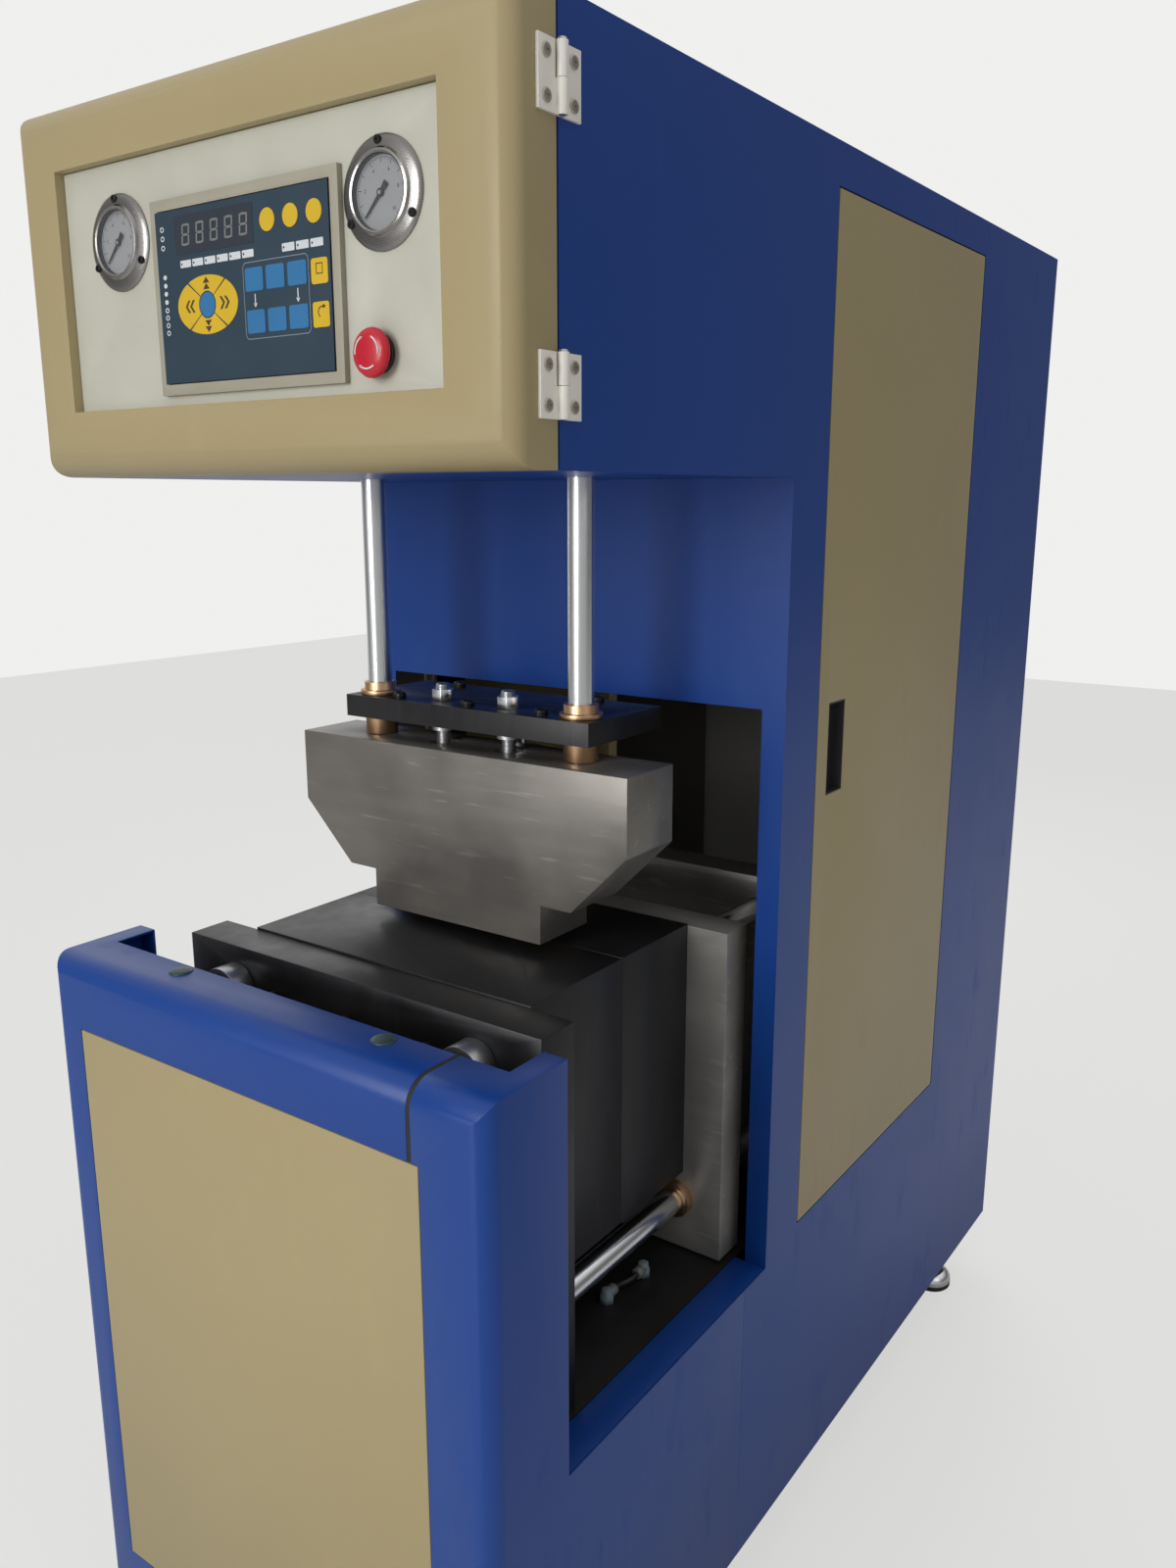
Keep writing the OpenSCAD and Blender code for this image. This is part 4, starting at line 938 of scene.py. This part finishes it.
def gauge_print():
    """Scale ticks and plain numbers on both dials, and a dark ring from dial to glass."""
    dial_t = 1.5
    number_r = 19.0
    number_h = 4.6
    numbers = range(0, 12, 2)
    scale_start, scale_sweep = 225, 270
    dial_face = node_box("gauge_dials")[1].y - dial_t
    wall = [(28.8, 0.0), (30.6, 0.0), (30.6, 3.3), (30.0, 3.3), (30.0, 4.7), (29.4, 4.7), (28.8, 0.0)]
    for side in ("left", "right"):
        x, z = node_middle("gauge_case_" + side)
        for kind, count, radius, length, width in (("major", 11, 25.0, 4.0, 0.55),
                                                   ("minor", 51, 26.2, 1.8, 0.25)):
            holder = new_object("ticks_holder", bpy.data.meshes.new("ticks_holder"))
            grown(f"dial_{kind}_ticks_{side}", holder, TICKS, "head_door", "print_black", "dial_white",
                  (x, dial_face, z), Count=count, Radius=radius * MM, Length=length * MM,
                  Width=width * MM, Start=math.radians(scale_start), Sweep=math.radians(scale_sweep))
        arc = arc_band(x, z, 27.0, 27.3, scale_start - scale_sweep, scale_start, 60)
        slabs(f"dial_arc_{side}", [arc], dial_face, 0.1, "print_black", "head_door")
        turned(f"dial_ring_{side}", wall, (x, dial_face, z), 48, "black_plastic", "head_door",
               "front")
        for number in numbers:
            angle = math.radians(scale_start - scale_sweep * number / numbers[-1])
            spot = (x + number_r * math.cos(angle), z + number_r * math.sin(angle))
            text_mesh(str(number), number_h, spot, dial_face, "print_black",
                      f"dial_number_{side}_{number}", "head_door")


gauge_print()


def stop_arrows():
    """Three curved white arrows on the emergency stop's crown."""
    x, z = node_middle("estop_button")
    crown = node_box("estop_button")[0].y
    inner_r, outer_r = 12.6, 13.9
    tip_r = (inner_r + outer_r) / 2
    barb = 1.35
    sweep = 70
    outlines = []
    for start in (-5, 115, 235):
        outlines.append(arc_band(x, z, inner_r, outer_r, start, start + sweep))
        tip = math.radians(start - 6)
        base = math.radians(start + 3)
        outlines.append([(x + radius * math.cos(angle), z + radius * math.sin(angle))
                         for radius, angle in ((tip_r, tip), (tip_r + barb, base), (tip_r - barb, base))])
    sunk, thick = 2.0, 1.35
    slabs("stop_arrows", outlines, crown + sunk, thick, "print_white", "estop_button")


stop_arrows()


# Trim

def door_gasket():
    """A thin black seal between the head and its door."""
    head_front = node_box("top_cover")[0].y
    low, high = node_box("head_door")
    width, height = high.x - low.x, high.z - low.z
    outer_gap, inner_gap = 4, 28
    outer = box_outline(*node_middle("head_door"), width - outer_gap, height - outer_gap, 8.0)
    inner = box_outline(*node_middle("head_door"), width - inner_gap, height - inner_gap, 4.0)
    slabs("door_gasket", frame_strips(outer, inner), head_front, 1.4, "gasket", "root")


door_gasket()


def rail_section():
    """Points in Y and Z just under the base rail's skin, from low on its front to its top's rear."""
    low, high = node_box("base_shell")
    front, top = low.y, high.z
    round_r = 28.0
    depth = 0.4
    rail_h = 78.5
    rail_depth = 70.5
    steps = 12
    path = [(front + depth, top - rail_h)]
    for i in range(steps + 1):
        angle = math.pi / 2 * i / steps
        path.append((front + round_r - (round_r - depth) * math.cos(angle),
                     top - round_r + (round_r - depth) * math.sin(angle)))
    path.append((front + rail_depth, top - depth))
    return path


def rail_sealant():
    """A dark strip in the rail's joint with the right corner post: painted shadow in the seam."""
    near_x, far_x = 233.1, 237.9
    shadow_t = 1.0
    path = rail_section()
    rings = []
    for i, (y, z) in enumerate(path):
        before, after = path[max(i - 1, 0)], path[min(i + 1, len(path) - 1)]
        along = Vector((after[0] - before[0], after[1] - before[1])).normalized()
        inward = Vector((along.y, -along.x)) * shadow_t
        rings.append([(near_x, y, z), (far_x, y, z), (far_x, y + inward.x, z + inward.y),
                      (near_x, y + inward.x, z + inward.y)])
    # The strip's dark colour is painted shadow where the rail meets the post.
    mesh = from_bmesh("rail_sealant", skinned(bmesh.new(), rings), False)
    settle(new_object("rail_sealant", mesh, "gasket"), "root")


def rail_plugs():
    """Two round plugs in the rail's top."""
    low, high = node_box("base_shell")
    out_x = 155.0
    rail_middle = low.y + 54
    profile = [(0.0, 2.6), (8.0, 2.4), (11.5, 1.6), (13.0, 0.4), (13.0, -0.2), (0.0, -0.2)]
    for side, x in (("left", -out_x), ("right", out_x)):
        turned("rail_plug_" + side, profile, (x, rail_middle, high.z), 40, "plug_green", "root")


rail_sealant()
rail_plugs()


def hose(name, points, radius, finish, body):
    """A round hose along a path of points in millimetres."""
    curve = bpy.data.curves.new(name, "CURVE")
    curve.dimensions = "3D"
    curve.bevel_depth = radius * MM
    curve.bevel_resolution = 4
    curve.use_fill_caps = True
    line = curve.splines.new("NURBS")
    line.points.add(len(points) - 1)
    line.order_u = 4
    line.use_endpoint_u = True
    for point, place in zip(line.points, points):
        point.co = (*(Vector(place) * MM), 1.0)
    shape = bmesh.new()
    shape.from_mesh(plain_mesh(name + "_tube", new_object(name + "_path", curve)))
    bmesh.ops.remove_doubles(shape, verts=shape.verts, dist=1e-6)
    settle(new_object(name, from_bmesh(name, shape), finish), body)


def bed_fittings():
    """A short air hose between two push-in fittings on the bed, beside the lower tie bar."""
    bed = node_box("bed_cover")[1].z
    outlet_z = bed + 9.5
    elbow = [(0.0, 0.0), (9.5, 0.0), (9.5, 9.0), (7.5, 11.0), (7.5, 17.0), (5.0, 18.5), (0.0, 18.5)]
    collar = [(0.0, 0.0), (7.0, 0.0), (7.0, 14.0), (5.0, 15.0), (0.0, 15.0)]
    for name, x, y, inset, facing in (("rear", 203.0, -300.0, -2, "front"),
                                      ("front", 196.0, -372.0, 2, "back")):
        turned(f"air_fitting_{name}", elbow, (x, y, bed), 6, "print_grey", "root")
        turned(f"air_collar_{name}", collar, (x, y + inset, outlet_z), 28, "digit_grey", "root",
               facing)
    path = [(203.0, -314.0, outlet_z), (204.0, -326.0, outlet_z), (199.0, -338.0, outlet_z - 2),
            (196.0, -348.0, outlet_z), (196.0, -360.0, outlet_z)]
    hose("air_hose", path, 4.0, "black_plastic", "root")


bed_fittings()


# Studio and camera

def pale_floor():
    """A pale floor that keeps the machine's shadow."""
    floor = new_object("floor", bpy.data.meshes.new("floor"))
    reach = 9.0
    floor.data.from_pydata([(-reach, -reach, 0), (reach, -reach, 0), (reach, reach, 0),
                            (-reach, reach, 0)], [], [(0, 1, 2, 3)])
    lift = 0.7
    pale = Finish("pale_floor", (0.62, 0.62, 0.61, 1.0), 0.6)
    pale.roughen(pale.noise(3.0, 3.0) * 0.1 + 0.5)
    glow = pale.node("ShaderNodeEmission", {}, {"Color": (0.86, 0.86, 0.84, 1.0), "Strength": 1.0})
    seen = Signal(pale, pale.node("ShaderNodeLightPath").outputs["Is Camera Ray"])
    lifted = pale.node("ShaderNodeMixShader", {}, {
        0: seen * lift, 1: pale.surface.outputs["BSDF"], 2: glow.outputs["Emission"]})
    pale.feed(pale.output.inputs["Surface"], lifted.outputs["Shader"])
    floor.data.materials.append(pale.material)


def soft_room():
    """A room of soft light: plain pale to the camera, and with bright walls where surfaces mirror it."""
    world = bpy.data.worlds.new("soft_room")
    world.use_nodes = True
    bpy.context.scene.world = world
    room = Finish.bare(world.node_tree)
    path = room.node("ShaderNodeLightPath")
    around = room.node("ShaderNodeTexGradient", {"gradient_type": "RADIAL"}, {"Vector": room.place})
    walls = room.ramp(Signal(room, around.outputs["Fac"]), (0.0, 0.5), (0.06, 0.24), (0.13, 0.22),
                      (0.17, 1.0), (0.27, 1.0), (0.33, 0.5), (0.44, 0.4), (0.50, 0.2), (0.57, 0.16),
                      (0.72, 0.16), (0.82, 0.5), (0.88, 1.0), (0.95, 0.9), (1.0, 0.5))
    ceiling = room.ramp(room.along("Z"), (0.35, 0.0), (0.75, 1.0))
    gentle = room.node("ShaderNodeMix", {"data_type": "RGBA"}, {
        0: ceiling, 6: (0.96, 0.97, 1.0, 1.0), 7: (2.3, 2.3, 2.3, 1.0)})
    soft = room.node("ShaderNodeBackground", {}, {"Color": gentle.outputs[2], "Strength": 0.31})
    shade = room.node("ShaderNodeMix", {"data_type": "RGBA"}, {
        0: ceiling, 6: walls.socket, 7: (0.85, 0.85, 0.85, 1.0)})
    mirrored = room.node("ShaderNodeBackground", {}, {"Color": shade.outputs[2], "Strength": 0.93})
    white = room.node("ShaderNodeBackground", {}, {"Color": (0.87, 0.87, 0.86, 1.0), "Strength": 1.0})
    shiny = room.node("ShaderNodeMixShader", {}, {
        0: path.outputs["Is Glossy Ray"], 1: soft.outputs[0], 2: mirrored.outputs[0]})
    seen = Signal(room, path.outputs["Is Camera Ray"])
    seen_through = Signal(room, path.outputs["Is Transmission Ray"])
    shown = room.node("ShaderNodeMixShader", {}, {
        0: seen + seen_through, 1: shiny.outputs[0], 2: white.outputs[0]})
    room.node("ShaderNodeOutputWorld", {}, {"Surface": shown.outputs[0]})


def lamp(name, place, target, size, power):
    """A plain rectangular lamp: place, target and size in metres, power in watts."""
    data = bpy.data.lights.new(name, "AREA")
    data.shape = "RECTANGLE"
    data.size, data.size_y = size
    data.energy = power
    made = bpy.data.objects.new(name, data)
    bpy.context.scene.collection.objects.link(made)
    made.location = place
    made.rotation_euler = (Vector(target) - Vector(place)).to_track_quat("-Z", "Y").to_euler()


def camera():
    """The photograph's view. Its place, turns and focal length follow from the vanishing points."""
    photo_width_px = 1200
    focal_px = 1270.0
    pitch_down = 12.9
    heading = 35.3
    data = bpy.data.cameras.new("camera")
    data.sensor_fit = "HORIZONTAL"
    data.sensor_width = 36.0
    data.lens = data.sensor_width * focal_px / photo_width_px
    data.clip_end = 60.0
    made = bpy.data.objects.new("camera", data)
    bpy.context.scene.collection.objects.link(made)
    made.location = (0.962, -1.494, 1.455)
    made.rotation_euler = (math.radians(90 - pitch_down), 0.0, math.radians(heading))
    bpy.context.scene.camera = made


pale_floor()
soft_room()
lamp("window_light", (-0.2, -4.4, 2.1), (0, 0, 1.0), (1.4, 2.4), 88.0)
lamp("side_light", (3.6, -1.2, 2.8), (0, 0, 1.0), (2.2, 2.2), 6.0)
lamp("back_light", (-1.2, 3.6, 3.2), (0, 0, 1.2), (2.4, 2.0), 50.0)
camera()
bpy.context.scene.view_settings.view_transform = "Standard"
